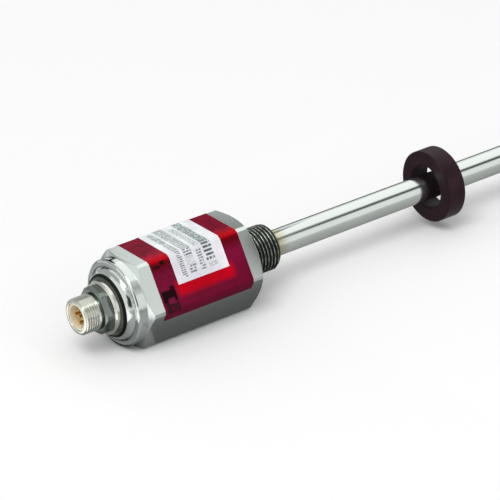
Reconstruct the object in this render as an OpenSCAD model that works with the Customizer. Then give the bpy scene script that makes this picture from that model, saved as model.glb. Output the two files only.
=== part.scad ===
// Magnetostrictive linear position sensor, rod type, with its ring magnet.
// The rod lies along +X, the hexagon rests on its lower flat, and the origin
// is on the rod's axis in the mounting face. Lengths are in millimetres.

/* [Housing] */
// Width of the hexagon across its flats
hex_af = 34; // [33:0.5:38]
// Diameter that breaks the hexagon's six corners
corner_d = 38.4; // [37.6:0.1:38.8]
// Length of the housing, mounting face to front lip
housing_len = 55.6; // [52:0.2:64]
// Length of the turned collar in front of the hexagon
collar_len = 4; // [3.6:0.1:5]
// Diameter of the turned collar
collar_d = 33.5; // [32.6:0.1:33.8]
// Wall of the collar round the cap's flange
collar_wall = 1.65; // [1.5:0.05:2]
// Width of the ledge that the cap's flange rests on
cap_ledge = 1.6; // [1.2:0.1:2]
// Thickness of the rear wall
rear_wall = 9; // [7:0.5:11]
// Diameter of the mounting face, inside its chamfer
face_d = 33; // [32:0.1:34]
// Angle of both end chamfers
chamfer_angle = 30; // [20:1:40]
// Radius of the collar's front edge
edge_r = 1.3; // [0.5:0.1:1.6]

/* [Threaded stud] */
// Outer diameter of the mounting thread
thread_d = 18; // [17:0.1:19]
// Length of the mounting thread past the mounting face
thread_len = 15.2; // [12:0.2:20]
// Diameter of the seat in the rear wall
seat_d = 18.6; // [18.4:0.1:20]
// Diameter of the shoulder behind the rear wall
shoulder_d = 24; // [22:0.5:25]
// Thickness of that shoulder
shoulder_t = 4; // [3:0.25:5]
// Diameter of the passage behind the rod
passage_d = 6.4; // [5.4:0.1:7]
// Chamfer at the thread's end
thread_chamfer = 1.1; // [0.6:0.1:1.4]

/* [Port seal] */
// Section of the seal in the mounting face, as squeezed
port_ring_d = 2; // [1.6:0.1:2.6]

/* [Rod] */
// Outer diameter of the rod
rod_d = 10.2; // [9.6:0.1:11]
// Wall of the rod's tube
rod_wall = 1; // [0.8:0.05:1.2]
// Electrical stroke
stroke = 100; // [75:5:250]
// Unused length between the mounting face and the stroke
null_len = 50; // [46:1:60]
// Unused length past the stroke
dead_len = 64; // [58:1:80]
// Depth of the rod in the stud, behind the mounting face
rod_depth = 10; // [7:0.5:11]
// Length of the end plug's head
plug_head = 2; // [1.5:0.1:4]
// Length of the end plug's spigot
plug_spigot = 5; // [4:0.5:8]

/* [Ring magnet] */
// Outer diameter of the ring magnet
magnet_d = 28.5; // [26:0.5:30]
// Bore of the ring magnet
magnet_bore_d = 17.2; // [14:0.2:19]
// Thickness of the ring magnet
magnet_t = 8.5; // [7:0.5:10]
// Middle of the magnet, measured from the mounting face
magnet_x = 96; // [85:1:105]

/* [Sensing element] */
// Diameter of the waveguide wire
wire_d = 0.8; // [0.6:0.05:0.9]
// Outer diameter of the waveguide's sleeve
sleeve_d = 2.4; // [2.1:0.1:2.6]
// Diameter of the return wire
return_d = 0.7; // [0.5:0.05:0.8]
// Height of the return wire above the waveguide
return_z = 2.6; // [2.5:0.05:2.7]
// Length of one spacer in the rod
spacer_len = 4; // [3:0.5:8]
// Number of spacers
spacer_count = 4; // [3:1:6]
// Length of the damper at the rod's end
damper_len = 22; // [15:1:30]
// Length of the pickup coil's bobbin
bobbin_len = 7; // [6:0.5:8]
// Diameter of the bobbin's cheeks
bobbin_d = 6; // [5.6:0.1:6.2]
// Width and height of the bias magnet
bias_w = 3; // [2.5:0.1:3.2]
// Length of the bias magnet
bias_len = 6; // [5:0.5:7]

/* [Electronics] */
// Thickness of the circuit board
board_t = 1.6; // [1.2:0.1:1.8]
// Height of the board's underside above the axis
board_z = 3.6; // [3.4:0.1:4]
// Wall of the board carrier
carrier_wall = 1.5; // [1.2:0.1:1.8]
// Wall of the screening sleeve
screen_wall = 0.25; // [0.2:0.05:0.3]
// Clearance round the connector board in the hollow cap
connector_board_gap = 1.7; // [1:0.1:2.4]

/* [End cap] */
// Thickness of the cap's flange at its rim
cap_flange_t = 1.9; // [1.5:0.1:2.2]
// Depth of the cap's seat behind the lip's front
cap_seat_depth = 2.7; // [2.5:0.1:3]
// Length of the cap's skirt
skirt_len = 5.5; // [5:0.25:7]
// Height of the raised cone on the cap
cone_h = 3; // [2.4:0.1:3.6]
// Radius at which the cone bulges outwards
cone_bulge_r = 4; // [3:0.25:12]
// Wall of the cap's skirt
skirt_wall = 2.8; // [2.6:0.1:3.4]
// Thickness of the cap under the connector
cap_web = 4.4; // [3.6:0.1:4.8]
// Section of the seal in the cap's skirt, as squeezed
skirt_ring_d = 1.6; // [1.2:0.1:1.7]

/* [Connector] */
// Outer diameter of the connector's thread
plug_thread_d = 14; // [13:0.1:15]
// Length of the connector's thread
plug_thread_len = 6.6; // [5:0.2:9]
// Diameter of the connector's flange
plug_flange_d = 20.6; // [20:0.1:21.4]
// Thickness of that flange
plug_flange_t = 3.2; // [2.4:0.1:4]
// Width of the connector's hexagon across its flats
plug_hex_af = 16.4; // [15.6:0.1:17]
// Length of that hexagon
plug_hex_len = 3.4; // [2.6:0.1:4.5]
// Section of the seal round the flange
plug_ring_d = 1.7; // [1.4:0.1:1.8]
// Diameter of the insulating insert
insert_d = 10.4; // [9.6:0.1:11]
// Wall of the insert's cup
cup_wall = 0.7; // [0.5:0.1:0.9]
// Depth of the insert's cup
cup_depth = 6; // [4:0.2:8]
// Diameter of one contact pin
pin_d = 1; // [0.8:0.1:1.2]
// Diameter of the circle that the outer pins stand on
pin_circle_d = 5; // [4.4:0.1:5.4]
// Number of pins on that circle
outer_pins = 4; // [3:1:5]

/* [Labels] */
// Width of the coloured wrap along the housing
wrap_w = 39.5; // [30:0.5:42]
// Distance of the wrap from the mounting face
wrap_x = 6; // [4:0.5:8]
// Half the angle that the wrap covers
wrap_half_angle = 102; // [95:1:140]
// Width of the data label
data_w = 22.8; // [18:0.2:28]
// Distance of the data label from the wrap's rear edge
data_x = 8; // [5:0.2:10]
// Half the angle that the data label covers
data_half_angle = 65; // [40:1:90]
// Thickness of a label's film
film_t = 0.15; // [0.1:0.01:0.2]

/* [Hidden] */

$fn = 96;
fit = 0.02;          // clearance of pressed, glued and brazed pieces
slip = 0.1;          // clearance of pieces that drop into place
eps = 0.5;           // how far a cutter reaches past the face that it cuts
edge_steps = 6;      // steps of a rounded edge

// Places along the rod, negative towards the connector
front_x = -housing_len;
hex_front_x = front_x + collar_len;
corner_depth = (corner_d - collar_d) / 2 * tan(chamfer_angle);
wall_x = -rear_wall;
shoulder_x = wall_x - shoulder_t;
rod_x0 = -rod_depth;
rod_end = null_len + stroke + dead_len;
rod_x1 = rod_end - plug_head;
seat_x = front_x + cap_seat_depth;
skirt_x = seat_x + skirt_len;
cap_rim_x = seat_x - cap_flange_t;
cap_face_x = cap_rim_x - cone_h;
hollow_x = cap_face_x + cap_web;
plug_hex_x = cap_face_x - plug_flange_t;
plug_thread_x = plug_hex_x - plug_hex_len;
plug_relief = 0.8;
plug_front_x = plug_thread_x - plug_relief - plug_thread_len;

// Housing and its fits
cap_flange_d = collar_d - 2 * collar_wall;
bore_d = cap_flange_d - 2 * cap_ledge;
hollow_d = bore_d - 2 * skirt_wall;
cap_seat_d = cap_flange_d + 2 * slip;
lip_d = cap_flange_d - 1.3;
lip_t = 0.5;
port_groove_d = seat_d + 2 * port_ring_d + 0.3;
port_groove_depth = port_ring_d + 0.05;

// Rod and what it holds
rod_bore_d = rod_d - 2 * rod_wall;
plug_x = rod_x1 - plug_spigot;
wire_gap = 0.1;
ferrule_t = 1.4;
ferrule_x = plug_x - ferrule_t - 1;
damper_x = ferrule_x - damper_len - 0.3;
sleeve_x1 = damper_x - 0.3;
spacer_x0 = 6;
spacer_pitch = (sleeve_x1 - spacer_x0 - 2 * spacer_len) / (spacer_count - 1);

// Carrier, from the stud's shoulder to the cap's skirt
screen_d = bore_d - 4 * slip;
carrier_d = screen_d - 2 * screen_wall - 2 * slip;
carrier_bore_d = carrier_d - 2 * carrier_wall;
carrier_x1 = shoulder_x - 0.3;
carrier_x0 = skirt_x + 0.4;
end_wall = 1.5;
bobbin_x1 = carrier_x1 - end_wall - 2.4;
bobbin_x0 = bobbin_x1 - bobbin_len;
cheek_t = 0.8;
bobbin_core_d = 2.6;
coil_d = bobbin_d - 0.6;
cradle_margin = 0.5;
cradle_w = bobbin_d + 2.4;
cradle_top = -bobbin_d / 4;
bias_z = -bobbin_d / 2 - 0.6;
sleeve_x0 = bobbin_x1 + 0.4;
clamp_len = 4;
clamp_w = 8;
clamp_h = 4.5;
clamp_z = -2.6;
clamp_x1 = bobbin_x0 - 3;
clamp_x0 = clamp_x1 - clamp_len;
wire_x0 = clamp_x0 - 1;
clamp_screw_y = clamp_w / 2 - 1.6;
clamp_screw_d = 1.2;
clamp_head_d = 2;
clamp_head_t = 0.8;
clamp_bite = 2;
clamp_hole = clamp_bite + 1;

// Board, its screws and its parts
board_top = board_z + board_t;
board_w = 2 * sqrt(pow(carrier_d / 2, 2) - pow(board_top, 2)) - 0.2;
board_x0 = carrier_x0 + 0.4;
board_x1 = carrier_x1 - 0.6;
boss_d = 3.8;
boss_inset = 2.6;
boss_y = board_w / 2 - 3.6;
screw_d = 1.9;
screw_bite = 4;
screw_hole = screw_bite + 2;
head_d = 3.4;
head_t = 1.1;
chip_t = 1.1;
chip_seat = 0.05;
leg_w = 0.3;
leg_len = 1.2;
leg_out = 0.4;
leg_rise = 0.15;
processor_len = 8;
processor_w = 7;
processor_legs = 8;
processor_x = (board_x0 + board_x1) / 2 - 1;
driver_len = 5;
driver_w = 3.9;
driver_inset = 8.5;
driver_y = 5.2;
driver_legs = 4;
capacitor_len = 1.6;
capacitor_w = 2.6;
capacitor_h = 1.4;
capacitor_pitch = 3;
capacitor_inset = 6;
capacitor_edge = 4.8;
capacitor_y = board_w / 2 - capacitor_edge;
capacitor_count = 4;
inductor_d = 5;
inductor_h = 3;
inductor_inset = 10;
inductor_edge = 4.4;
inductor_y = board_w / 2 - inductor_edge;

// Connector and what it holds
stem_d = insert_d + 2.8;
stem_x1 = hollow_x + 3.4;
nut_t = 2.4;
insert_step_x = plug_hex_x;
insert_stem_d = insert_d - 2.4;
insert_x0 = plug_front_x + 0.5;
insert_x1 = stem_x1 + 0.3;
cup_floor_x = insert_x0 + cup_depth;
pin_tip_x = insert_x0 + 0.5;
ring_board_t = 1.2;
ring_board_x0 = insert_x1 + 0.1;
ring_board_x1 = ring_board_x0 + ring_board_t;
pin_x1 = ring_board_x1 + 0.4;
ring_groove_d = plug_flange_d + 2 * plug_ring_d + 0.2;
ring_groove_depth = 0.9;
hub_d = ring_groove_d + 0.4;
connector_board_d = hollow_d - 2 * connector_board_gap;
nut_af = stem_d + 3;
nut_corner_d = nut_af + 1.4;
lead_d = 0.7;
lead_pitch = 2;
lead_count = 5;

// Labels lie on the hexagon with a thin film of glue
glue = 0.02;
wrap_x1 = -wrap_x;
wrap_x0 = wrap_x1 - wrap_w;
data_x1 = wrap_x1 - data_x;
data_x0 = data_x1 - data_w;

// Colours, as the photograph shows them
steel = [0.74, 0.75, 0.73];
bright_steel = [0.84, 0.84, 0.82];
dark_steel = [0.22, 0.22, 0.21];
black_rubber = [0.06, 0.06, 0.06];
magnet_brown = [0.2, 0.13, 0.16];
wrap_red = [0.62, 0.02, 0.1];
label_white = [0.9, 0.9, 0.9];
cream = [0.86, 0.83, 0.74];
gold = [0.8, 0.6, 0.24];
board_green = [0.1, 0.35, 0.2];
chip_black = [0.1, 0.1, 0.11];
copper = [0.72, 0.4, 0.22];
brass = [0.75, 0.62, 0.32];
grey_nylon = [0.35, 0.36, 0.38];

// Turned piece about the rod's axis, from a list of [radius, x] points
module turned(points) {
    rotate([0, 90, 0]) rotate_extrude() polygon(points);
}

// Round bar or hole along the rod, from x0 to x1, off the axis by y and z
module bar(d, x0, x1, y = 0, z = 0) {
    translate([x0, y, z]) rotate([0, 90, 0]) cylinder(d = d, h = x1 - x0);
}

// Tube along the rod
module pipe(d_out, d_in, x0, x1) {
    difference() {
        bar(d_out, x0, x1);
        bar(d_in, x0 - eps, x1 + eps);
    }
}

// A flat outline in Y and Z, drawn out along the rod from x0 to x1
module along_rod(x0, x1) {
    translate([x0, 0, 0]) rotate([90, 0, 90]) linear_extrude(x1 - x0) children();
}

// Block between two X positions, centred on Y, standing on z
module block(x0, x1, w, z0, z1, y = 0) {
    translate([x0, y - w / 2, z0]) cube([x1 - x0, w, z1 - z0]);
}

// Hexagonal outline with flats above and below, its corners turned off
module hexagon(af, turned_d) {
    intersection() {
        circle(d = af / cos(30), $fn = 6);
        circle(d = turned_d);
    }
}

// Seal ring round the rod's axis
module seal(centre_d, section, x) {
    translate([x, 0, 0]) rotate([0, 90, 0]) rotate_extrude()
        translate([centre_d / 2, 0]) circle(d = section, $fn = 32);
}

// Points of a quarter round, from angle a0 to a1, about [r, x]
function quarter(r, x, radius, a0, a1) = [
    for (i = [0 : edge_steps])
        let (a = a0 + (a1 - a0) * i / edge_steps)
            [r + radius * cos(a), x + radius * sin(a)]
];

// Sector of a disc about the rod's axis, either side of straight up
module sector(half_angle, reach) {
    steps = 8;
    polygon(concat([[0, 0]], [
        for (i = [-steps : steps])
            let (a = 90 + half_angle * i / steps) [reach * cos(a), reach * sin(a)]
    ]));
}

// Hexagonal bar, its ends chamfered on the lathe, and the collar in front
module housing_envelope() {
    collar_r = collar_d / 2;
    corner_r = corner_d / 2 + eps;
    cone = corner_depth + eps * tan(chamfer_angle);
    face_cone = (corner_r - face_d / 2) * tan(chamfer_angle);
    turned(concat(
        [[0, front_x]],
        quarter(collar_r - edge_r, front_x + edge_r, edge_r, -90, 0),
        [
            [collar_r, hex_front_x],
            [corner_r, hex_front_x + cone],
            [corner_r, -face_cone],
            [face_d / 2, 0],
            [0, 0]
        ]
    ));
}

module hex_housing() {
    color(steel) difference() {
        intersection() {
            along_rod(front_x, 0) hexagon(hex_af, corner_d);
            housing_envelope();
        }
        turned([
            [0, front_x - eps],
            [lip_d / 2, front_x - eps],
            [lip_d / 2, front_x + lip_t / 2],
            [cap_seat_d / 2, front_x + lip_t],
            [cap_seat_d / 2, seat_x],
            [bore_d / 2, seat_x],
            [bore_d / 2, wall_x],
            [seat_d / 2 + fit, wall_x],
            [seat_d / 2 + fit, eps],
            [0, eps]
        ]);
        pipe(port_groove_d, seat_d + fit, -port_groove_depth, eps);
    }
}

// Turned stud: shoulder inside, seat in the rear wall, thread outside
module threaded_stud() {
    thread_r = thread_d / 2;
    color(dark_steel) difference() {
        turned([
            [0, shoulder_x],
            [shoulder_d / 2 - 0.5, shoulder_x],
            [shoulder_d / 2, shoulder_x + 0.5],
            [shoulder_d / 2, wall_x],
            [seat_d / 2, wall_x],
            [seat_d / 2, 0],
            [thread_r, 0],
            [thread_r, thread_len - thread_chamfer],
            [thread_r - thread_chamfer, thread_len],
            [0, thread_len]
        ]);
        bar(passage_d, shoulder_x - eps, rod_x0 + eps);
        bar(rod_d + 2 * fit, rod_x0, thread_len + eps);
    }
}

module port_seal() {
    color(black_rubber)
        seal(seat_d + port_ring_d + 0.15, port_ring_d, port_ring_d / 2 - port_groove_depth);
}

module sensor_rod() {
    color(bright_steel) pipe(rod_d, rod_bore_d, rod_x0, rod_x1);
}

// Welded plug that closes the rod
module rod_end_plug() {
    bevel = 0.8;
    spigot_r = rod_bore_d / 2 - fit;
    color(bright_steel) turned([
        [0, plug_x],
        [spigot_r - bevel / 2, plug_x],
        [spigot_r, plug_x + bevel / 2],
        [spigot_r, rod_x1],
        [rod_d / 2, rod_x1],
        [rod_d / 2, rod_end - bevel],
        [rod_d / 2 - bevel, rod_end],
        [0, rod_end]
    ]);
}

// Bonded ring magnet, free to slide along the rod
module ring_magnet() {
    outer = magnet_d / 2;
    inner = magnet_bore_d / 2;
    x0 = magnet_x - magnet_t / 2;
    x1 = magnet_x + magnet_t / 2;
    bevel = 0.5;
    color(magnet_brown) turned([
        [inner, x0 + bevel],
        [inner + bevel, x0],
        [outer - bevel, x0],
        [outer, x0 + bevel],
        [outer, x1 - bevel],
        [outer - bevel, x1],
        [inner + bevel, x1],
        [inner, x1 - bevel]
    ]);
}

module waveguide_wire() {
    color(bright_steel) bar(wire_d, wire_x0, ferrule_x + ferrule_t);
}

module waveguide_sleeve() {
    color(cream) pipe(sleeve_d, wire_d + 2 * wire_gap, sleeve_x0, sleeve_x1);
}

// Copper return wire, with a short leg up to the board
module return_wire() {
    leg_x = carrier_x1 - end_wall - 1;
    color(copper) {
        bar(return_d, leg_x, ferrule_x + ferrule_t, z = return_z);
        translate([leg_x, 0, return_z]) sphere(d = return_d, $fn = 24);
        translate([leg_x, 0, return_z]) cylinder(d = return_d, h = board_z - return_z - fit, $fn = 24);
    }
}

// Holes for the waveguide and the return wire through a piece in the rod
module wire_holes(d, x0, x1) {
    bar(d, x0 - eps, x1 + eps);
    bar(return_d + 2 * wire_gap, x0 - eps, x1 + eps, z = return_z);
}

module rod_spacers() {
    color(grey_nylon) for (i = [0 : spacer_count - 1]) {
        x0 = spacer_x0 + i * spacer_pitch;
        difference() {
            bar(rod_bore_d - 2 * fit, x0, x0 + spacer_len);
            wire_holes(sleeve_d + 2 * fit, x0, x0 + spacer_len);
        }
    }
}

// Soft damper that swallows the pulse at the far end of the wire
module end_damper() {
    color([0.75, 0.3, 0.2]) difference() {
        bar(rod_bore_d - 2 * slip, damper_x, damper_x + damper_len);
        wire_holes(wire_d + 2 * fit, damper_x, damper_x + damper_len);
    }
}

// Small disc that joins the waveguide to the return wire
module end_ferrule() {
    color(brass) difference() {
        bar(rod_bore_d - 4 * slip, ferrule_x, ferrule_x + ferrule_t);
        bar(wire_d + 2 * fit, ferrule_x - eps, ferrule_x + ferrule_t + eps);
        bar(return_d + 2 * fit, ferrule_x - eps, ferrule_x + ferrule_t + eps, z = return_z);
    }
}

module pickup_bobbin() {
    core_r = bobbin_core_d / 2;
    cheek_r = bobbin_d / 2;
    hole_r = wire_d / 2 + wire_gap;
    color(cream) turned([
        [hole_r, bobbin_x0],
        [cheek_r, bobbin_x0],
        [cheek_r, bobbin_x0 + cheek_t],
        [core_r, bobbin_x0 + cheek_t],
        [core_r, bobbin_x1 - cheek_t],
        [cheek_r, bobbin_x1 - cheek_t],
        [cheek_r, bobbin_x1],
        [hole_r, bobbin_x1]
    ]);
}

module pickup_coil() {
    color(copper)
        pipe(coil_d, bobbin_core_d + 2 * fit, bobbin_x0 + cheek_t + fit, bobbin_x1 - cheek_t - fit);
}

module bias_magnet() {
    middle = (bobbin_x0 + bobbin_x1) / 2;
    color(chip_black) block(middle - bias_len / 2, middle + bias_len / 2, bias_w, bias_z - bias_w, bias_z);
}

// Brass block that grips the near end of the waveguide
module waveguide_clamp() {
    color(brass) difference() {
        block(clamp_x0, clamp_x1, clamp_w, clamp_z, clamp_z + clamp_h);
        bar(wire_d + 2 * fit, clamp_x0 - eps, clamp_x1 + eps);
        for (side = [-1, 1])
            translate([(clamp_x0 + clamp_x1) / 2, side * clamp_screw_y, clamp_z - eps])
                cylinder(d = clamp_screw_d + 2 * fit, h = clamp_h + 2 * eps, $fn = 32);
    }
}

// Cheese-head screw, its head seated on z
module screw(d, head, head_h, len, z) {
    translate([0, 0, z]) difference() {
        union() {
            cylinder(d = head, h = head_h, $fn = 32);
            translate([0, 0, -len]) cylinder(d = d, h = len, $fn = 32);
        }
        translate([-head, -0.2, head_h * 0.5]) cube([2 * head, 0.4, head_h]);
    }
}

module clamp_screws() {
    color(bright_steel) for (side = [-1, 1])
        translate([(clamp_x0 + clamp_x1) / 2, side * clamp_screw_y, 0])
            screw(clamp_screw_d, clamp_head_d, clamp_head_t, clamp_h + clamp_bite, clamp_z + clamp_h);
}

// Places of the board's four screws
module at_board_screws() {
    for (x = [board_x0 + boss_inset, board_x1 - boss_inset], side = [-1, 1])
        translate([x, side * boss_y, 0]) children();
}

// Moulded half shell with end walls, screw bosses, coil cradle and clamp post
module board_carrier() {
    middle = (bobbin_x0 + bobbin_x1) / 2;
    floor_z = -carrier_bore_d / 2 - carrier_wall / 2;
    color(grey_nylon) difference() {
        intersection() {
            union() {
                pipe(carrier_d, carrier_bore_d, carrier_x0, carrier_x1);
                bar(carrier_d - carrier_wall, carrier_x1 - end_wall, carrier_x1);
                bar(carrier_d - carrier_wall, carrier_x0, carrier_x0 + end_wall);
                at_board_screws() translate([0, 0, floor_z]) cylinder(d = boss_d, h = board_z - floor_z);
                block(bobbin_x0 - cradle_margin, bobbin_x1 + cradle_margin, cradle_w, floor_z, cradle_top);
                block(clamp_x0, clamp_x1, clamp_w, floor_z, clamp_z - fit);
            }
            bar(carrier_d, carrier_x0, carrier_x1);
            block(carrier_x0, carrier_x1, carrier_d, -carrier_d, board_z - fit);
        }
        bar(bobbin_d + 2 * fit, bobbin_x0 - cradle_margin - eps, bobbin_x1 + cradle_margin + eps);
        block(middle - bias_len / 2 - fit, middle + bias_len / 2 + fit, bias_w + 2 * fit,
            bias_z - bias_w - fit, cradle_top);
        bar(passage_d, carrier_x1 - end_wall - eps, carrier_x1 + eps);
        at_board_screws() translate([0, 0, board_z - screw_hole])
            cylinder(d = screw_d + 2 * fit, h = screw_hole + eps, $fn = 32);
        for (side = [-1, 1])
            translate([(clamp_x0 + clamp_x1) / 2, side * clamp_screw_y, clamp_z - clamp_hole])
                cylinder(d = clamp_screw_d + 2 * fit, h = clamp_hole + eps, $fn = 32);
    }
}

module circuit_board() {
    color(board_green) difference() {
        block(board_x0, board_x1, board_w, board_z, board_top);
        at_board_screws() translate([0, 0, board_z - eps])
            cylinder(d = screw_d + 2 * slip, h = board_t + 2 * eps, $fn = 32);
    }
}

module board_screws() {
    color(bright_steel) at_board_screws() screw(screw_d, head_d, head_t, board_t + screw_bite, board_top + fit);
}

// Flat chip on the board, with its two rows of legs
module chip(x, y, len, w, legs) {
    z = board_top + chip_seat;
    pitch = len / (legs + 1);
    block(x - len / 2, x + len / 2, w, z + leg_rise, z + leg_rise + chip_t, y);
    for (side = [-1, 1], i = [1 : legs])
        block(x - len / 2 + i * pitch - leg_w / 2, x - len / 2 + i * pitch + leg_w / 2,
            leg_len, z, z + leg_rise + leg_w, y + side * (w / 2 + leg_out));
}

module processor_chip() {
    color(chip_black) chip(processor_x, 0, processor_len, processor_w, processor_legs);
}

module driver_chips() {
    color(chip_black) for (side = [-1, 1])
        chip(board_x1 - driver_inset, side * driver_y, driver_len, driver_w, driver_legs);
}

module filter_capacitors() {
    x0 = board_x0 + capacitor_inset;
    z0 = board_top + chip_seat;
    color([0.75, 0.6, 0.3]) for (i = [0 : capacitor_count - 1])
        block(x0 + i * capacitor_pitch, x0 + i * capacitor_pitch + capacitor_len, capacitor_w,
            z0, z0 + capacitor_h, capacitor_y);
}

module pulse_inductor() {
    color(chip_black) translate([board_x0 + inductor_inset, -inductor_y, board_top + chip_seat])
        cylinder(d = inductor_d, h = inductor_h);
}

module screen_sleeve() {
    color(copper) pipe(screen_d, screen_d - 2 * screen_wall, carrier_x0, carrier_x1);
}

// Turned cap: skirt with its groove, flange under the lip, raised cone, hub
module end_cap() {
    skirt_r = bore_d / 2 - fit;
    groove_r = skirt_r - skirt_ring_d - 2 * fit;
    groove_w = skirt_ring_d * 1.25;
    groove_x = (seat_x + skirt_x) / 2 - groove_w / 2;
    cone_r = lip_d / 2 - slip;
    cone_x = front_x + 0.3;
    rim_r = cap_flange_d / 2;
    // centre of the bulge's arc, and the angles of its two ends
    run = [cone_r - hub_d / 2, cone_x - cap_face_x];
    back = sqrt(cone_bulge_r * cone_bulge_r - run * run / 4);
    mid_r = (hub_d / 2 + cone_r) / 2 - back * run[1] / norm(run);
    mid_x = (cap_face_x + cone_x) / 2 + back * run[0] / norm(run);
    a0 = atan2(cap_face_x - mid_x, hub_d / 2 - mid_r);
    a1 = atan2(cone_x - mid_x, cone_r - mid_r);
    color(bright_steel) difference() {
        turned(concat([[0, cap_face_x]], quarter(mid_r, mid_x, cone_bulge_r, a0, a1), [
            [cone_r, front_x + lip_t / 2],
            [rim_r, front_x + lip_t + slip],
            [rim_r, seat_x],
            [skirt_r, seat_x],
            [skirt_r, groove_x],
            [groove_r, groove_x],
            [groove_r, groove_x + groove_w],
            [skirt_r, groove_x + groove_w],
            [skirt_r, skirt_x - 0.4],
            [skirt_r - 0.4, skirt_x],
            [0, skirt_x]
        ]));
        bar(hollow_d, hollow_x, skirt_x + eps);
        bar(stem_d + 2 * fit, cap_face_x - eps, hollow_x + eps);
        pipe(ring_groove_d, plug_flange_d - 1, cap_face_x - eps, cap_face_x + ring_groove_depth);
    }
}

module skirt_seal() {
    color(black_rubber)
        seal(bore_d - skirt_ring_d - 2 * fit, skirt_ring_d, (seat_x + skirt_x) / 2);
}

// Threaded receptacle: stem through the cap, flange, hexagon, thread, rim
module connector_shell() {
    thread_r = plug_thread_d / 2;
    flange_r = plug_flange_d / 2;
    bevel = 0.7;
    color(bright_steel) difference() {
        union() {
            turned([
                [0, plug_front_x],
                [thread_r - bevel, plug_front_x],
                [thread_r, plug_front_x + bevel],
                [thread_r, plug_front_x + plug_thread_len],
                [thread_r - plug_relief, plug_front_x + plug_thread_len],
                [thread_r - plug_relief, plug_hex_x],
                [flange_r - bevel, plug_hex_x],
                [flange_r, plug_hex_x + bevel],
                [flange_r, cap_face_x],
                [stem_d / 2, cap_face_x],
                [stem_d / 2, stem_x1],
                [0, stem_x1]
            ]);
            along_rod(plug_thread_x, plug_hex_x + fit) hexagon(plug_hex_af, plug_hex_af * 1.1);
        }
        bar(insert_d + 2 * fit, plug_front_x - eps, insert_step_x);
        bar(insert_stem_d + 2 * fit, plug_front_x, stem_x1 + eps);
    }
}

module connector_seal() {
    color(black_rubber)
        seal(plug_flange_d + plug_ring_d + 0.1, plug_ring_d,
            cap_face_x + ring_groove_depth - plug_ring_d / 2);
}

// Nut that draws the receptacle against the cap from inside
module connector_nut() {
    color(bright_steel) difference() {
        along_rod(hollow_x, hollow_x + nut_t) hexagon(nut_af, nut_corner_d);
        bar(stem_d + 2 * fit, hollow_x - eps, hollow_x + nut_t + eps);
    }
}

// Centres of the contacts: one in the middle, the rest on a circle
module at_pins() {
    children();
    for (i = [0 : outer_pins - 1])
        rotate([360 / outer_pins * i, 0, 0]) translate([0, 0, pin_circle_d / 2]) children();
}

// Moulded insert: cup in front, keyed, and a stem through the shell
module connector_insert() {
    key_w = 1.2;
    color(cream) difference() {
        union() {
            difference() {
                bar(insert_d, insert_x0, insert_step_x);
                bar(insert_d - 2 * cup_wall, insert_x0 - eps, cup_floor_x);
            }
            bar(insert_stem_d, cup_floor_x, insert_x1);
            block(insert_x0 + 1, cup_floor_x + 0.5, key_w, -insert_d / 2 + cup_wall / 2, -pin_circle_d / 2 - pin_d);
        }
        at_pins() bar(pin_d + 2 * fit, cup_floor_x - eps, insert_x1 + eps);
    }
}

module contact_pins() {
    color(gold) at_pins() {
        tip = pin_d * 0.3;
        turned([
            [0, pin_tip_x],
            [pin_d / 2 - tip, pin_tip_x],
            [pin_d / 2, pin_tip_x + tip],
            [pin_d / 2, pin_x1],
            [0, pin_x1]
        ]);
    }
}

module connector_board() {
    color(board_green) difference() {
        bar(connector_board_d, ring_board_x0, ring_board_x1);
        at_pins() bar(pin_d + 2 * fit, ring_board_x0 - eps, ring_board_x1 + eps);
    }
}

// Row of stiff leads from the round board to the main one
module connector_leads() {
    color(bright_steel) for (i = [0 : lead_count - 1])
        bar(lead_d, ring_board_x1 + fit, board_x0 + 3.4,
            y = (i - (lead_count - 1) / 2) * lead_pitch, z = board_top + lead_d / 2 + fit);
}

// Film that follows the hexagon, lifted off it by some distance
module film(x0, x1, lift, half_angle) {
    along_rod(x0, x1) intersection() {
        difference() {
            hexagon(hex_af + 2 * (lift + film_t), corner_d + 2 * (lift + film_t));
            hexagon(hex_af + 2 * lift, corner_d + 2 * lift);
        }
        sector(half_angle, hex_af);
    }
}

module wrap_label() {
    color(wrap_red) film(wrap_x0, wrap_x1, glue, wrap_half_angle);
}

module data_label() {
    color(label_white) film(data_x0, data_x1, 2 * glue + film_t, data_half_angle);
}

hex_housing();
threaded_stud();
port_seal();
sensor_rod();
rod_end_plug();
ring_magnet();
waveguide_wire();
waveguide_sleeve();
return_wire();
rod_spacers();
end_damper();
end_ferrule();
pickup_bobbin();
pickup_coil();
bias_magnet();
waveguide_clamp();
clamp_screws();
board_carrier();
circuit_board();
board_screws();
processor_chip();
driver_chips();
filter_capacitors();
pulse_inductor();
screen_sleeve();
end_cap();
skirt_seal();
connector_shell();
connector_seal();
connector_nut();
connector_insert();
contact_pins();
connector_board();
connector_leads();
wrap_label();
data_label();
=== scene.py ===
"""Looks of a rod-type magnetostrictive position sensor with its ring magnet.

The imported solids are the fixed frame. This script gives each of them its real
material, cuts the two threads, lays the printed films round the hexagon, and
lights the sensor on a plain pale floor. Sizes in the classes are millimetres,
unless a name ends in _m or a docstring says metres, and become metres when a
mesh or a material is made. Colours are sRGB hex values.
"""
from __future__ import annotations

import logging
import math
from dataclasses import dataclass, field
from enum import Enum
from typing import Any, Mapping, Sequence

import bmesh
import bpy
from mathutils import Matrix, Vector

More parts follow.
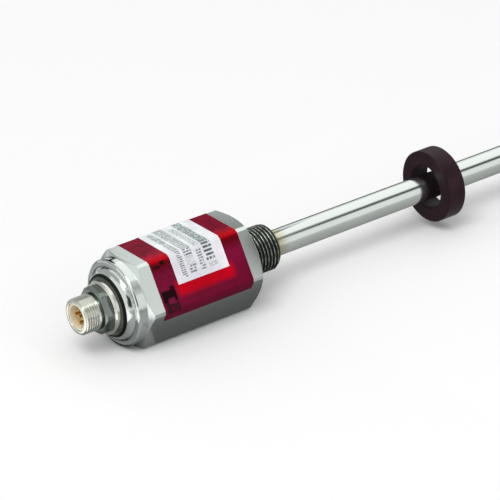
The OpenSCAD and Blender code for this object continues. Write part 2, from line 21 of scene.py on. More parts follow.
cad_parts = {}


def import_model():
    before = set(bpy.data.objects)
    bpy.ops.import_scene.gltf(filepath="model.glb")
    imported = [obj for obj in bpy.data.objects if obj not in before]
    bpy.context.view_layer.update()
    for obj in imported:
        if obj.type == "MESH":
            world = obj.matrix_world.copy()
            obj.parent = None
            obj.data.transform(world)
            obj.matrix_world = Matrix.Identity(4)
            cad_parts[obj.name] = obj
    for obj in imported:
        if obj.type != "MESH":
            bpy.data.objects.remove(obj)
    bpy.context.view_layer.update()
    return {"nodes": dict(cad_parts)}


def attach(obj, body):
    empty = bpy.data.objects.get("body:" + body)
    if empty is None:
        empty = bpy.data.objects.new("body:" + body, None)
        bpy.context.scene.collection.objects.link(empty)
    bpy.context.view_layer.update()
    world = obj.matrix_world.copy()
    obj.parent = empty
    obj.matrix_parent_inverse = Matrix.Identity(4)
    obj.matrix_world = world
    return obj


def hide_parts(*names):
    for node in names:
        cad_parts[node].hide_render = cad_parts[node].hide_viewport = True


log = logging.getLogger("position_sensor")

Tree = bpy.types.NodeTree
Node = bpy.types.Node
Socket = bpy.types.NodeSocket
Object = bpy.types.Object
Mesh = bpy.types.Mesh
Material = bpy.types.Material
BMesh = bmesh.types.BMesh

MM = 0.001
TAU = 2.0 * math.pi
SIXTH = math.radians(60.0)
UPWARDS = math.radians(90.0)
WHITE = "ffffff"
FILM_MAP = "film_map"
CARD_MAP = "card_map"
# most of what a noise texture gives lies between these two
NOISE_LOW, NOISE_HIGH = 0.3, 0.7


# Small helpers


def linear(code: str) -> tuple[float, float, float, float]:
    """Turns an sRGB hex value into the linear colour that a socket wants.

    Args:
        code: Six hex digits.

    Returns:
        Red, green, blue and an alpha of one.
    """
    parts = [int(code[i:i + 2], 16) / 255.0 for i in (0, 2, 4)]
    r, g, b = (c / 12.92 if c <= 0.04045 else ((c + 0.055) / 1.055) ** 2.4 for c in parts)
    return (r, g, b, 1.0)


def per_metre(size_mm: float) -> float:
    """How often a pattern of a size comes in a metre, as a texture's scale wants it."""
    return 1.0 / MM / size_mm


def feed(tree: Tree, node: Node, inputs: Mapping[int | str, Any]) -> None:
    """Sets or links a node's inputs.

    Args:
        tree: The tree that the node is in.
        node: The node.
        inputs: For each input, by name or number, a value, or the socket or
            node that it is linked to. A node stands for its first output.
    """
    for key, value in inputs.items():
        socket = node.inputs[key]
        if isinstance(value, Node):
            value = value.outputs[0]
        if isinstance(value, Socket):
            tree.links.new(value, socket)
        else:
            socket.default_value = value


def add_node(tree: Tree, kind: str, inputs: Mapping[int | str, Any] | None = None,
             **settings: Any) -> Node:
    """Adds one node, sets it up and links it.

    Args:
        tree: The tree that the node goes into.
        kind: Blender's name of the node type.
        inputs: What goes into its inputs, as feed takes it.
        **settings: Properties of the node itself.

    Returns:
        The new node.
    """
    made = tree.nodes.new(kind)
    for name, value in settings.items():
        setattr(made, name, value)
    feed(tree, made, inputs or {})
    return made


def set_stops(ramp: bpy.types.ColorRamp,
              stops: Sequence[tuple[float, Sequence[float]]]) -> None:
    """Lays colours along a colour ramp.

    Args:
        ramp: The ramp, with the two stops that it is made with.
        stops: Places from nought to one, in order, and the colours there.
    """
    first, *between, last = stops
    ramp.elements[0].position, ramp.elements[0].color = first
    ramp.elements[1].position, ramp.elements[1].color = last
    for place, colour in between:
        ramp.elements.new(place).color = colour


def mesh_object(name: str, mesh: Mesh) -> Object:
    """Links a mesh into the scene as an object at the origin.

    Args:
        name: Name of the piece.
        mesh: Its mesh, already in place.

    Returns:
        The new object.
    """
    piece = bpy.data.objects.new(name, mesh)
    bpy.context.scene.collection.objects.link(piece)
    return piece


def dress(piece: Object, material: Material) -> None:
    """Gives a piece one material in all its slots."""
    piece.data.materials.clear()
    piece.data.materials.append(material)


def shade(mesh: Mesh, angle_deg: float) -> None:
    """Shades a mesh smooth, with its edges kept sharp above an angle."""
    mesh.shade_smooth()
    mesh.set_sharp_from_angle(angle=math.radians(angle_deg))


def plain_mesh(name: str, bm: BMesh) -> Mesh:
    """Turns a bmesh into a mesh.

    Args:
        name: Name of the mesh.
        bm: The bmesh, in metres; it is freed.

    Returns:
        The mesh.
    """
    mesh = bpy.data.meshes.new(name)
    bm.to_mesh(mesh)
    bm.free()
    return mesh


def finished_mesh(name: str, bm: BMesh, angle_deg: float = 32.0) -> Mesh:
    """Closes a bmesh, points its faces outwards and turns it into a mesh.

    Args:
        name: Name of the mesh.
        bm: The bmesh, in metres; it is freed.
        angle_deg: Angle above which an edge stays sharp.

    Returns:
        The finished mesh.
    """
    same_place = 1e-7
    bmesh.ops.remove_doubles(bm, verts=bm.verts, dist=same_place)
    bmesh.ops.recalc_face_normals(bm, faces=bm.faces)
    mesh = plain_mesh(name, bm)
    shade(mesh, angle_deg)
    return mesh


def lathe(bm: BMesh, profile: Sequence[tuple[float, float]], segments: int) -> None:
    """Turns a closed profile about the rod's axis, as a body with a bore.

    Args:
        bm: The bmesh that takes the faces.
        profile: Points (x, radius) in order round the section, none on the axis.
        segments: Number of steps round the axis.
    """
    turns = [TAU * i / segments for i in range(segments)]
    rings = [
        [bm.verts.new((x * MM, r * MM * math.cos(turn), r * MM * math.sin(turn))) for turn in turns]
        for x, r in profile
    ]
    for a, b in zip(rings, rings[1:] + rings[:1]):
        for i in range(segments):
            j = (i + 1) % segments
            bm.faces.new((a[i], a[j], b[j], b[i]))


def rows(x0: float, x1: float, r: float, count: int) -> list[tuple[float, float]]:
    """Evenly spaced profile points along a cylinder, both ends included."""
    return [(x0 + (x1 - x0) * i / count, r) for i in range(count + 1)]


def hexagon_reach(angle: float, half_across: float, turned_r: float) -> float:
    """Distance from the axis to a hexagon whose corners are turned off.

    Args:
        angle: Angle about the axis, from +Y towards +Z; one flat faces upwards.
        half_across: Half the distance across the flats.
        turned_r: Radius to which the corners are turned.

    Returns:
        The distance, in the unit of the two sizes.
    """
    off_flat = (angle - UPWARDS + SIXTH / 2) % SIXTH - SIXTH / 2
    return min(half_across / math.cos(off_flat), turned_r)


# Finishes


def off_axis(tree: Tree, where: Socket) -> Socket:
    """Distance of the shaded point from the rod's axis.

    Args:
        tree: The material's tree.
        where: Object coordinates.

    Returns:
        The distance in metres.
    """
    across = add_node(tree, "ShaderNodeVectorMath", {0: where, 1: (0.0, 1.0, 1.0)},
                      operation="MULTIPLY")
    length = add_node(tree, "ShaderNodeVectorMath", {0: across}, operation="LENGTH")
    return length.outputs["Value"]


def rising_outwards(tree: Tree, where: Socket, inner_mm: float, outer_mm: float) -> Node:
    """Nought up to one distance from the axis, and one from another on."""
    return add_node(tree, "ShaderNodeMapRange", {
        "Value": off_axis(tree, where), "From Min": inner_mm * MM, "From Max": outer_mm * MM})


def rising_along(tree: Tree, where: Socket, start_mm: float, end_mm: float,
                 low: float = 0.0) -> Node:
    """A share that rises to one along the rod.

    Args:
        tree: The material's tree.
        where: Object coordinates.
        start_mm: Place where it starts to rise.
        end_mm: Place where it is one.
        low: The share up to the start.

    Returns:
        The node that gives the share.
    """
    place = add_node(tree, "ShaderNodeSeparateXYZ", {0: where}).outputs["X"]
    return add_node(tree, "ShaderNodeMapRange", {
        "Value": place, "From Min": start_mm * MM, "From Max": end_mm * MM, "To Min": low})


def relief(tree: Tree, height: Socket | Node, strength: float, depth_mm: float,
           edge_mm: float = 0.0) -> Node:
    """Normals of a surface with a fine relief and softly broken edges.

    Args:
        tree: The material's tree.
        height: The pattern that stands proud.
        strength: How much of the relief shows.
        depth_mm: Height of the pattern.
        edge_mm: Radius of the broken edges; none leaves them as they are.

    Returns:
        The node that gives the normals.
    """
    inputs = {"Strength": strength, "Distance": depth_mm * MM, "Height": height}
    if edge_mm:
        inputs["Normal"] = add_node(tree, "ShaderNodeBevel", {"Radius": edge_mm * MM}, samples=6)
    return add_node(tree, "ShaderNodeBump", inputs)


@dataclass(frozen=True)
class Surface:
    """What every finish is: a named material whose shader the finish feeds."""

    name: str

    def shader_inputs(self, tree: Tree, where: Socket) -> dict[str, Any]:
        """What goes into the shader's sockets; each kind of finish says its own."""
        raise NotImplementedError

    def build(self) -> Material:
        """Makes the material.

        Returns:
            The material, with its patterns on Object coordinates.
        """
        material = bpy.data.materials.new(self.name)
        material.use_nodes = True
        tree = material.node_tree
        where = add_node(tree, "ShaderNodeTexCoord").outputs["Object"]
        feed(tree, tree.nodes["Principled BSDF"], self.shader_inputs(tree, where))
        return material


class Grain(Enum):
    """How a metal surface was made, which sets the way its fine lines run."""

    TURNED = "rings about the axis"
    DRAWN = "lines along the axis"


@dataclass(frozen=True)
class Steel(Surface):
    """A metal with machining lines, faint stains and softly broken edges.

    Real turning and grinding lines are 0.01 to 0.05 mm apart, too fine to show
    here, so line_mm draws them as coarse as they need to be to show.
    """

    colour: str
    grain: Grain
    roughness: float
    spread: float
    line_mm: float
    bump: float
    stain: float
    edge_mm: float
    stain_colour: str = "615d59"
    stain_mm: float = 11.1
    stain_from: float = 0.35
    stain_full: float = 0.75
    relief_mm: float = 0.02
    turned_stretch: float = 0.004
    drawn_stretch: float = 0.006
    least_roughness: float = 0.03

    def stretch(self) -> tuple[float, float, float]:
        """How fine the line pattern is along each axis.

        Returns:
            Lines per metre along X, Y and Z.
        """
        fine = per_metre(self.line_mm)
        return {
            Grain.TURNED: (fine, fine * self.turned_stretch, fine * self.turned_stretch),
            Grain.DRAWN: (fine * self.drawn_stretch, fine, fine),
        }[self.grain]

    def coordinates(self, tree: Tree, where: Socket) -> Socket | Node:
        """Where the line pattern is read.

        Args:
            tree: The material's tree.
            where: Object coordinates.

        Returns:
            The same coordinates, or for a turned surface such that rings show.
        """
        if self.grain is not Grain.TURNED:
            return where
        split = add_node(tree, "ShaderNodeSeparateXYZ", {0: where}).outputs
        # the lines follow both the radius and the place along the axis, so that
        # end faces and rims both show rings
        reach = add_node(tree, "ShaderNodeMath", {0: split["X"], 1: off_axis(tree, where)},
                         operation="ADD")
        return add_node(tree, "ShaderNodeCombineXYZ", {
            "X": reach, "Y": split["Y"], "Z": split["Z"]})

    def tint(self, tree: Tree, where: Socket, base: Socket) -> Socket:
        """The colour where it differs over the piece; plain steel keeps it."""
        return base

    def soften(self, tree: Tree, where: Socket, level: Node) -> Node:
        """The roughness where it differs along the piece; plain steel keeps it."""
        return level

    def shader_inputs(self, tree: Tree, where: Socket) -> dict[str, Any]:
        """Fine lines in roughness and relief over a faint cloud of stains.

        Args:
            tree: The material's tree.
            where: Object coordinates.

        Returns:
            What goes into the shader's sockets.
        """
        scaled = add_node(tree, "ShaderNodeMapping", {
            "Vector": self.coordinates(tree, where), "Scale": self.stretch()})
        lines = add_node(tree, "ShaderNodeTexNoise", {
            "Vector": scaled, "Scale": 1.0, "Detail": 4.0, "Roughness": 0.65})
        cloud = add_node(tree, "ShaderNodeTexNoise", {
            "Vector": where, "Scale": per_metre(self.stain_mm), "Detail": 3.0})
        half = self.spread / 2
        level = add_node(tree, "ShaderNodeMapRange", {
            "Value": lines, "From Min": NOISE_LOW, "From Max": NOISE_HIGH,
            "To Min": max(self.roughness - half, self.least_roughness),
            "To Max": self.roughness + half})
        dull = add_node(tree, "ShaderNodeMapRange", {
            "Value": cloud, "From Min": self.stain_from, "From Max": self.stain_full,
            "To Max": self.stain})
        base = add_node(tree, "ShaderNodeMix", {
            0: dull, 6: linear(self.colour), 7: linear(self.stain_colour)}, data_type="RGBA")
        return {
            "Base Color": self.tint(tree, where, base.outputs[2]),
            "Roughness": self.soften(tree, where, level),
            "Metallic": 1.0,
            "Normal": relief(tree, lines, self.bump, self.relief_mm, self.edge_mm),
        }


@dataclass(frozen=True)
class BarSteel(Steel):
    """Drawn bar whose turned collar is smoother than its flats."""

    collar_end_mm: float = -51.7
    change_mm: float = 0.2
    collar_share: float = 0.4

    def soften(self, tree: Tree, where: Socket, level: Node) -> Node:
        """Lowers the roughness in front of the hexagon.

        Args:
            tree: The material's tree.
            where: Object coordinates.
            level: The roughness of the flats.

        Returns:
            The roughness of flats and collar.
        """
        share = rising_along(tree, where, self.collar_end_mm,
                             self.collar_end_mm + self.change_mm, self.collar_share)
        return add_node(tree, "ShaderNodeMath", {0: level, 1: share}, operation="MULTIPLY")


@dataclass(frozen=True)
class HeatTintedSteel(Steel):
    """Ground steel rod with the straw and brown tint of the weld at its root."""

    root_mm: float = 15.2
    reach_mm: float = 7.0
    heat: tuple[tuple[float, str], ...] = (
        (0.0, "8a6a3c"), (0.12, "b89c6c"), (0.35, "e8dcc0"), (1.0, WHITE))

    def tint(self, tree: Tree, where: Socket, base: Socket) -> Socket:
        """Blends straw and brown into the colour close to the weld.

        Args:
            tree: The material's tree.
            where: Object coordinates.
            base: The bare steel's colour.

        Returns:
            The tinted colour.
        """
        share = rising_along(tree, where, self.root_mm, self.root_mm + self.reach_mm)
        ramp = add_node(tree, "ShaderNodeValToRGB", {"Fac": share})
        set_stops(ramp.color_ramp, [(place, linear(code)) for place, code in self.heat])
        both = add_node(tree, "ShaderNodeMix", {0: 1.0, 6: base, 7: ramp},
                        data_type="RGBA", blend_type="MULTIPLY")
        return both.outputs[2]


@dataclass(frozen=True)
class ThreadedSteel(Steel):
    """Rolled thread: painted shade darkens the roots, painted highlights light the crests.

    The crest's colour starts at rise_from of the way up the thread's flank, and
    it is broken into patches, which are painted glints.
    """

    crest_colour: str = "e2e6de"
    crest_mm: float = 9.0
    root_mm: float = 8.1
    rise_from: float = 0.7
    glint_patch_mm: float = 1.67
    glint_from: float = 0.44
    glint_full: float = 0.6
    least_glint: float = 0.22

    def tint(self, tree: Tree, where: Socket, base: Socket) -> Socket:
        """Blends the crest's colour in by the distance from the axis.

        Args:
            tree: The material's tree.
            where: Object coordinates.
            base: The roots' colour.

        Returns:
            The colour of roots and crests.
        """
        # painted light: the crests lighter as a painted highlight, the roots darker as painted
        # shade
        flank_mm = self.crest_mm * self.rise_from + self.root_mm * (1.0 - self.rise_from)
        share = rising_outwards(tree, where, flank_mm, self.crest_mm)
        # the crest's colour broken into patches: painted glints
        glint_noise = add_node(tree, "ShaderNodeTexNoise", {
            "Vector": where, "Scale": per_metre(self.glint_patch_mm), "Detail": 2.0})
        patchy = add_node(tree, "ShaderNodeMapRange", {
            "Value": glint_noise, "From Min": self.glint_from, "From Max": self.glint_full,
            "To Min": self.least_glint})
        both = add_node(tree, "ShaderNodeMath", {0: share, 1: patchy}, operation="MULTIPLY")
        mixed = add_node(tree, "ShaderNodeMix", {
            0: both, 6: base, 7: linear(self.crest_colour)}, data_type="RGBA")
        return mixed.outputs[2]


@dataclass(frozen=True)
class Moulding(Surface):
    """A moulded or cast body: fine surface grain, mottled colour, soft gloss."""

    colour: str
    second: str
    roughness: float
    grain_mm: float
    bump: float
    specks: float
    sheen: float = 0.0
    subsurface: float = 0.0
    specular: float = 0.5
    edge_mm: float = 0.15
    mottle_mm: float = 5.56
    speck_from: float = 0.62
    speck_full: float = 0.72
    gloss_change: float = 0.15
    relief_mm: float = 0.04
    scatter_mm: float = 0.6

    def tint(self, tree: Tree, where: Socket, base: Socket) -> Socket:
        """The colour where it differs over the piece; a plain moulding keeps it."""
        return base

    def shader_inputs(self, tree: Tree, where: Socket) -> dict[str, Any]:
        """A colour that wanders between two near shades, under a fine grain.

        Args:
            tree: The material's tree.
            where: Object coordinates.

        Returns:
            What goes into the shader's sockets.
        """
        first, second = linear(self.colour), linear(self.second)
        grain = add_node(tree, "ShaderNodeTexNoise", {
            "Vector": where, "Scale": per_metre(self.grain_mm), "Detail": 3.0, "Roughness": 0.6})
        flow = add_node(tree, "ShaderNodeTexNoise", {
            "Vector": where, "Scale": per_metre(self.mottle_mm), "Detail": 4.0})
        share = add_node(tree, "ShaderNodeMapRange", {
            "Value": flow, "From Min": NOISE_LOW, "From Max": NOISE_HIGH})
        mottled = add_node(tree, "ShaderNodeMix", {0: share, 6: first, 7: second},
                           data_type="RGBA")
        speck = add_node(tree, "ShaderNodeMapRange", {
            "Value": grain, "From Min": self.speck_from, "From Max": self.speck_full,
            "To Max": self.specks})
        base = add_node(tree, "ShaderNodeMix", {0: speck, 6: mottled.outputs[2], 7: second},
                        data_type="RGBA")
        gloss = add_node(tree, "ShaderNodeMapRange", {
            "Value": grain, "From Min": NOISE_LOW, "From Max": NOISE_HIGH,
            "To Min": self.roughness * (1.0 - self.gloss_change),
            "To Max": self.roughness * (1.0 + self.gloss_change)})
        return {
            "Base Color": self.tint(tree, where, base.outputs[2]),
            "Roughness": gloss,
            "Normal": relief(tree, grain, self.bump, self.relief_mm, self.edge_mm),
            "Specular IOR Level": self.specular,
            "Sheen Weight": self.sheen,
            "Subsurface Weight": self.subsurface,
            "Subsurface Scale": self.scatter_mm * MM,
        }


@dataclass(frozen=True)
class PaintedLightSeal(Moulding):
    """A seal whose inner edge, next to the flange, is a lighter grey: painted light, which the
    flange's side mirrors.
    """

    painted_light_grey: str = "8c948e"
    inner_mm: float = 10.5
    outer_mm: float = 11.2

    def tint(self, tree: Tree, where: Socket, base: Socket) -> Socket:
        """Blends the painted light grey in towards the flange.

        Args:
            tree: The material's tree.
            where: Object coordinates.
            base: The rubber's colour.

        Returns:
            The colour of painted light and rubber.
        """
        share = rising_outwards(tree, where, self.inner_mm, self.outer_mm)
        mixed = add_node(tree, "ShaderNodeMix", {0: share, 6: linear(self.painted_light_grey), 7: base},
                         data_type="RGBA")
        return mixed.outputs[2]


@dataclass(frozen=True)
class Patch:
    """A rectangle of print on a film, in millimetres of the film's own map. One such
    rectangle on the red film is a painted reflection, not print.

    u runs along the housing from the film's front edge, v runs round it from
    the edge nearest the viewer. The value after the colour is how strong the patch
    is, and soft the width over which its edges fade. With dash_mm the patch is
    mottled at that size, and with row_mm as well it breaks up into rows of bars of
    uneven length, which stand for lines of print. fill is how full the bars are.
    """

    u0: float
    u1: float
    v0: float
    v1: float
    colour: str
    ink_and_light: float
    soft: float
    dash_mm: float = 0.0
    row_mm: float = 0.0
    fill: float = 0.5


@dataclass(frozen=True)
class Film(Surface):
    """Printed polyester film: a graded ground, simple fields of print and of painted light, a clear
    coat.

    The ground lists places round the housing, in millimetres, and the colours
    there. The seeds set each patch and each row of bars apart from the others.
    """

    ground: tuple[tuple[float, str], ...]
    roughness: float
    coat: float
    specular: float
    wave: float
    patches: tuple[Patch, ...]
    coat_roughness: float = 0.08
    cloud_mm: float = 9.1
    cloud_from: float = 0.35
    cloud_to: float = 0.65
    cloud_dark: float = 0.86
    cloud_light: float = 1.08
    wave_mm: float = 7.14
    wave_height_mm: float = 0.4
    bar_from: float = 0.2
    bar_to: float = 0.8
    bar_soft: float = 0.15
    fill_reach: float = 0.35
    bar_blur: float = 0.02
    mottle_blur: float = 0.1
    row_seed: float = 9.7
    patch_seed: float = 7.3

    def band(self, tree: Tree, value: Socket | Node, low: float, high: float,
             soft: float) -> Node:
        """One where a coordinate lies between two values, nought outside.

        Args:
            tree: The material's tree.
            value: The coordinate.
            low: Lower end of the band.
            high: Upper end of the band.
            soft: Width over which it fades at both ends.

        Returns:
            The node that gives a value from nought to one.
        """
        middle, half = (low + high) / 2, (high - low) / 2
        away = add_node(tree, "ShaderNodeMath", {0: value, 1: middle}, operation="SUBTRACT")
        size = add_node(tree, "ShaderNodeMath", {0: away}, operation="ABSOLUTE")
        return add_node(tree, "ShaderNodeMapRange", {
            "Value": size, "From Min": half - soft / 2, "From Max": half + soft / 2,
            "To Min": 1.0, "To Max": 0.0})

    def ink_and_light_mask(self, tree: Tree, u: Socket, v: Socket, patch: Patch, number: int) -> Node:
        """How strongly a patch lays its colour at each place.

        Args:
            tree: The material's tree.
            u: Place along the housing, in millimetres.
            v: Place round the housing, in millimetres.
            patch: The patch.
            number: Its number, from one.

        Returns:
            The node that gives a value from nought to the patch's strength.
        """
        along = self.band(tree, u, patch.u0, patch.u1, patch.soft)
        across = self.band(tree, v, patch.v0, patch.v1, patch.soft)
        mask = add_node(tree, "ShaderNodeMath", {0: along, 1: across}, operation="MULTIPLY")
        line = v
        if patch.row_mm:
            count = add_node(tree, "ShaderNodeMath", {0: v, 1: patch.row_mm}, operation="DIVIDE")
            within = add_node(tree, "ShaderNodeMath", {0: count}, operation="FRACT")
            bar = self.band(tree, within, self.bar_from, self.bar_to, self.bar_soft)
            mask = add_node(tree, "ShaderNodeMath", {0: mask, 1: bar}, operation="MULTIPLY")
            whole = add_node(tree, "ShaderNodeMath", {0: count}, operation="FLOOR")
            line = add_node(tree, "ShaderNodeMath", {0: whole, 1: self.row_seed},
                            operation="MULTIPLY")
        if patch.dash_mm:
            place = add_node(tree, "ShaderNodeCombineXYZ", {
                "X": u, "Y": line, "Z": self.patch_seed * number})
            broken = add_node(tree, "ShaderNodeTexNoise", {
                "Vector": place, "Scale": 1.0 / patch.dash_mm, "Detail": 1.0})
            # the fuller the patch is to be, the lower the noise counts as ink
            edge = 0.5 + (0.5 - patch.fill) * self.fill_reach
            blur = self.bar_blur if patch.row_mm else self.mottle_blur
            bars = add_node(tree, "ShaderNodeMapRange", {
                "Value": broken, "From Min": edge - blur, "From Max": edge + blur})
            mask = add_node(tree, "ShaderNodeMath", {0: mask, 1: bars}, operation="MULTIPLY")
        return add_node(tree, "ShaderNodeMath", {0: mask, 1: patch.ink_and_light}, operation="MULTIPLY")

    def print_and_painted_light(self, tree: Tree, u: Socket, v: Socket) -> Socket:
        """The ground's colour with the patches laid over it, one after the other.

        Args:
            tree: The material's tree.
            u: Place along the housing, in millimetres.
            v: Place round the housing, in millimetres.

        Returns:
            The colour of print and painted light.
        """
        span = self.ground[-1][0]
        share = add_node(tree, "ShaderNodeMapRange", {"Value": v, "From Max": span})
        ramp = add_node(tree, "ShaderNodeValToRGB", {"Fac": share})
        set_stops(ramp.color_ramp, [(place / span, linear(code)) for place, code in self.ground])
        colour = ramp.outputs["Color"]
        for number, patch in enumerate(self.patches, start=1):
            ink_and_light = self.ink_and_light_mask(tree, u, v, patch, number)
            over = add_node(tree, "ShaderNodeMix", {0: ink_and_light, 6: colour, 7: linear(patch.colour)},
                            data_type="RGBA")
            colour = over.outputs[2]
        return colour

    def shader_inputs(self, tree: Tree, where: Socket) -> dict[str, Any]:
        """Print on the film's own map, under slow waves of its clear coat.

        Args:
            tree: The material's tree.
            where: Object coordinates.

        Returns:
            What goes into the shader's sockets.
        """
        chart = add_node(tree, "ShaderNodeUVMap", uv_map=FILM_MAP)
        split = add_node(tree, "ShaderNodeSeparateXYZ", {0: chart}).outputs
        # the map is kept in metres, and the print is laid out in millimetres
        u, v = (add_node(tree, "ShaderNodeMath", {0: split[axis], 1: 1.0 / MM},
                         operation="MULTIPLY").outputs[0] for axis in "XY")
        cloud = add_node(tree, "ShaderNodeTexNoise", {
            "Vector": where, "Scale": per_metre(self.cloud_mm), "Detail": 4.0})
        share = add_node(tree, "ShaderNodeMapRange", {
            "Value": cloud, "From Min": self.cloud_from, "From Max": self.cloud_to,
            "To Min": self.cloud_dark, "To Max": self.cloud_light})
        uneven = add_node(tree, "ShaderNodeVectorMath", {
            0: self.print_and_painted_light(tree, u, v), "Scale": share}, operation="SCALE")
        # slow waves where the film lies uneven on its glue
        waves = add_node(tree, "ShaderNodeTexNoise", {
            "Vector": where, "Scale": per_metre(self.wave_mm), "Detail": 1.5})
        normal = relief(tree, waves, self.wave, self.wave_height_mm)
        return {
            "Base Color": uneven,
            "Normal": normal,
            "Coat Normal": normal,
            "Roughness": self.roughness,
            "Specular IOR Level": self.specular,
            "Coat Weight": self.coat,
            "Coat Roughness": self.coat_roughness,
        }


@dataclass(frozen=True)
class Laminate(Surface):
    """Glass laminate with solder mask, faint tracks under it and a weave."""

    mask: str = "0f4d2a"
    second_mask: str = "12582f"
    track: str = "2c7d48"
    track_mm: float = 3.85
    track_share: float = 0.03
    weave_mm: float = 0.714
    relief_mm: float = 0.02
    bump: float = 0.06
    roughness: float = 0.35

    def shader_inputs(self, tree: Tree, where: Socket) -> dict[str, Any]:
        """Green mask with lighter tracks and the weave's fine relief.

        Args:
            tree: The material's tree.
            where: Object coordinates.

        Returns:
            What goes into the shader's sockets.
        """
        tracks = add_node(tree, "ShaderNodeTexBrick", {
            "Vector": where, "Scale": per_metre(self.track_mm), "Mortar Size": self.track_share,
            "Color1": linear(self.mask), "Color2": linear(self.second_mask),
            "Mortar": linear(self.track)})
        weave = add_node(tree, "ShaderNodeTexWave", {
            "Vector": where, "Scale": per_metre(self.weave_mm)})
        return {
            "Base Color": tracks,
            "Normal": relief(tree, weave.outputs["Fac"], self.bump, self.relief_mm),
            "Roughness": self.roughness,
        }


@dataclass(frozen=True)
class Paper(Surface):
    """Matt white paper of the studio floor, with a faint tone of its fibres."""

    fibre_mm: float = 1.11
    darkest: float = 0.955
    lightest: float = 0.985
    roughness: float = 0.9
    specular: float = 0.1

    def shader_inputs(self, tree: Tree, where: Socket) -> dict[str, Any]:
        """An almost even white that hardly shines.

        Args:
            tree: The material's tree.
            where: Object coordinates.

        Returns:
            What goes into the shader's sockets.
        """
        fibres = add_node(tree, "ShaderNodeTexNoise", {
            "Vector": where, "Scale": per_metre(self.fibre_mm), "Detail": 2.0})
        tone = add_node(tree, "ShaderNodeMapRange", {
            "Value": fibres, "To Min": self.darkest, "To Max": self.lightest})
        return {"Base Color": tone, "Roughness": self.roughness,
                "Specular IOR Level": self.specular}


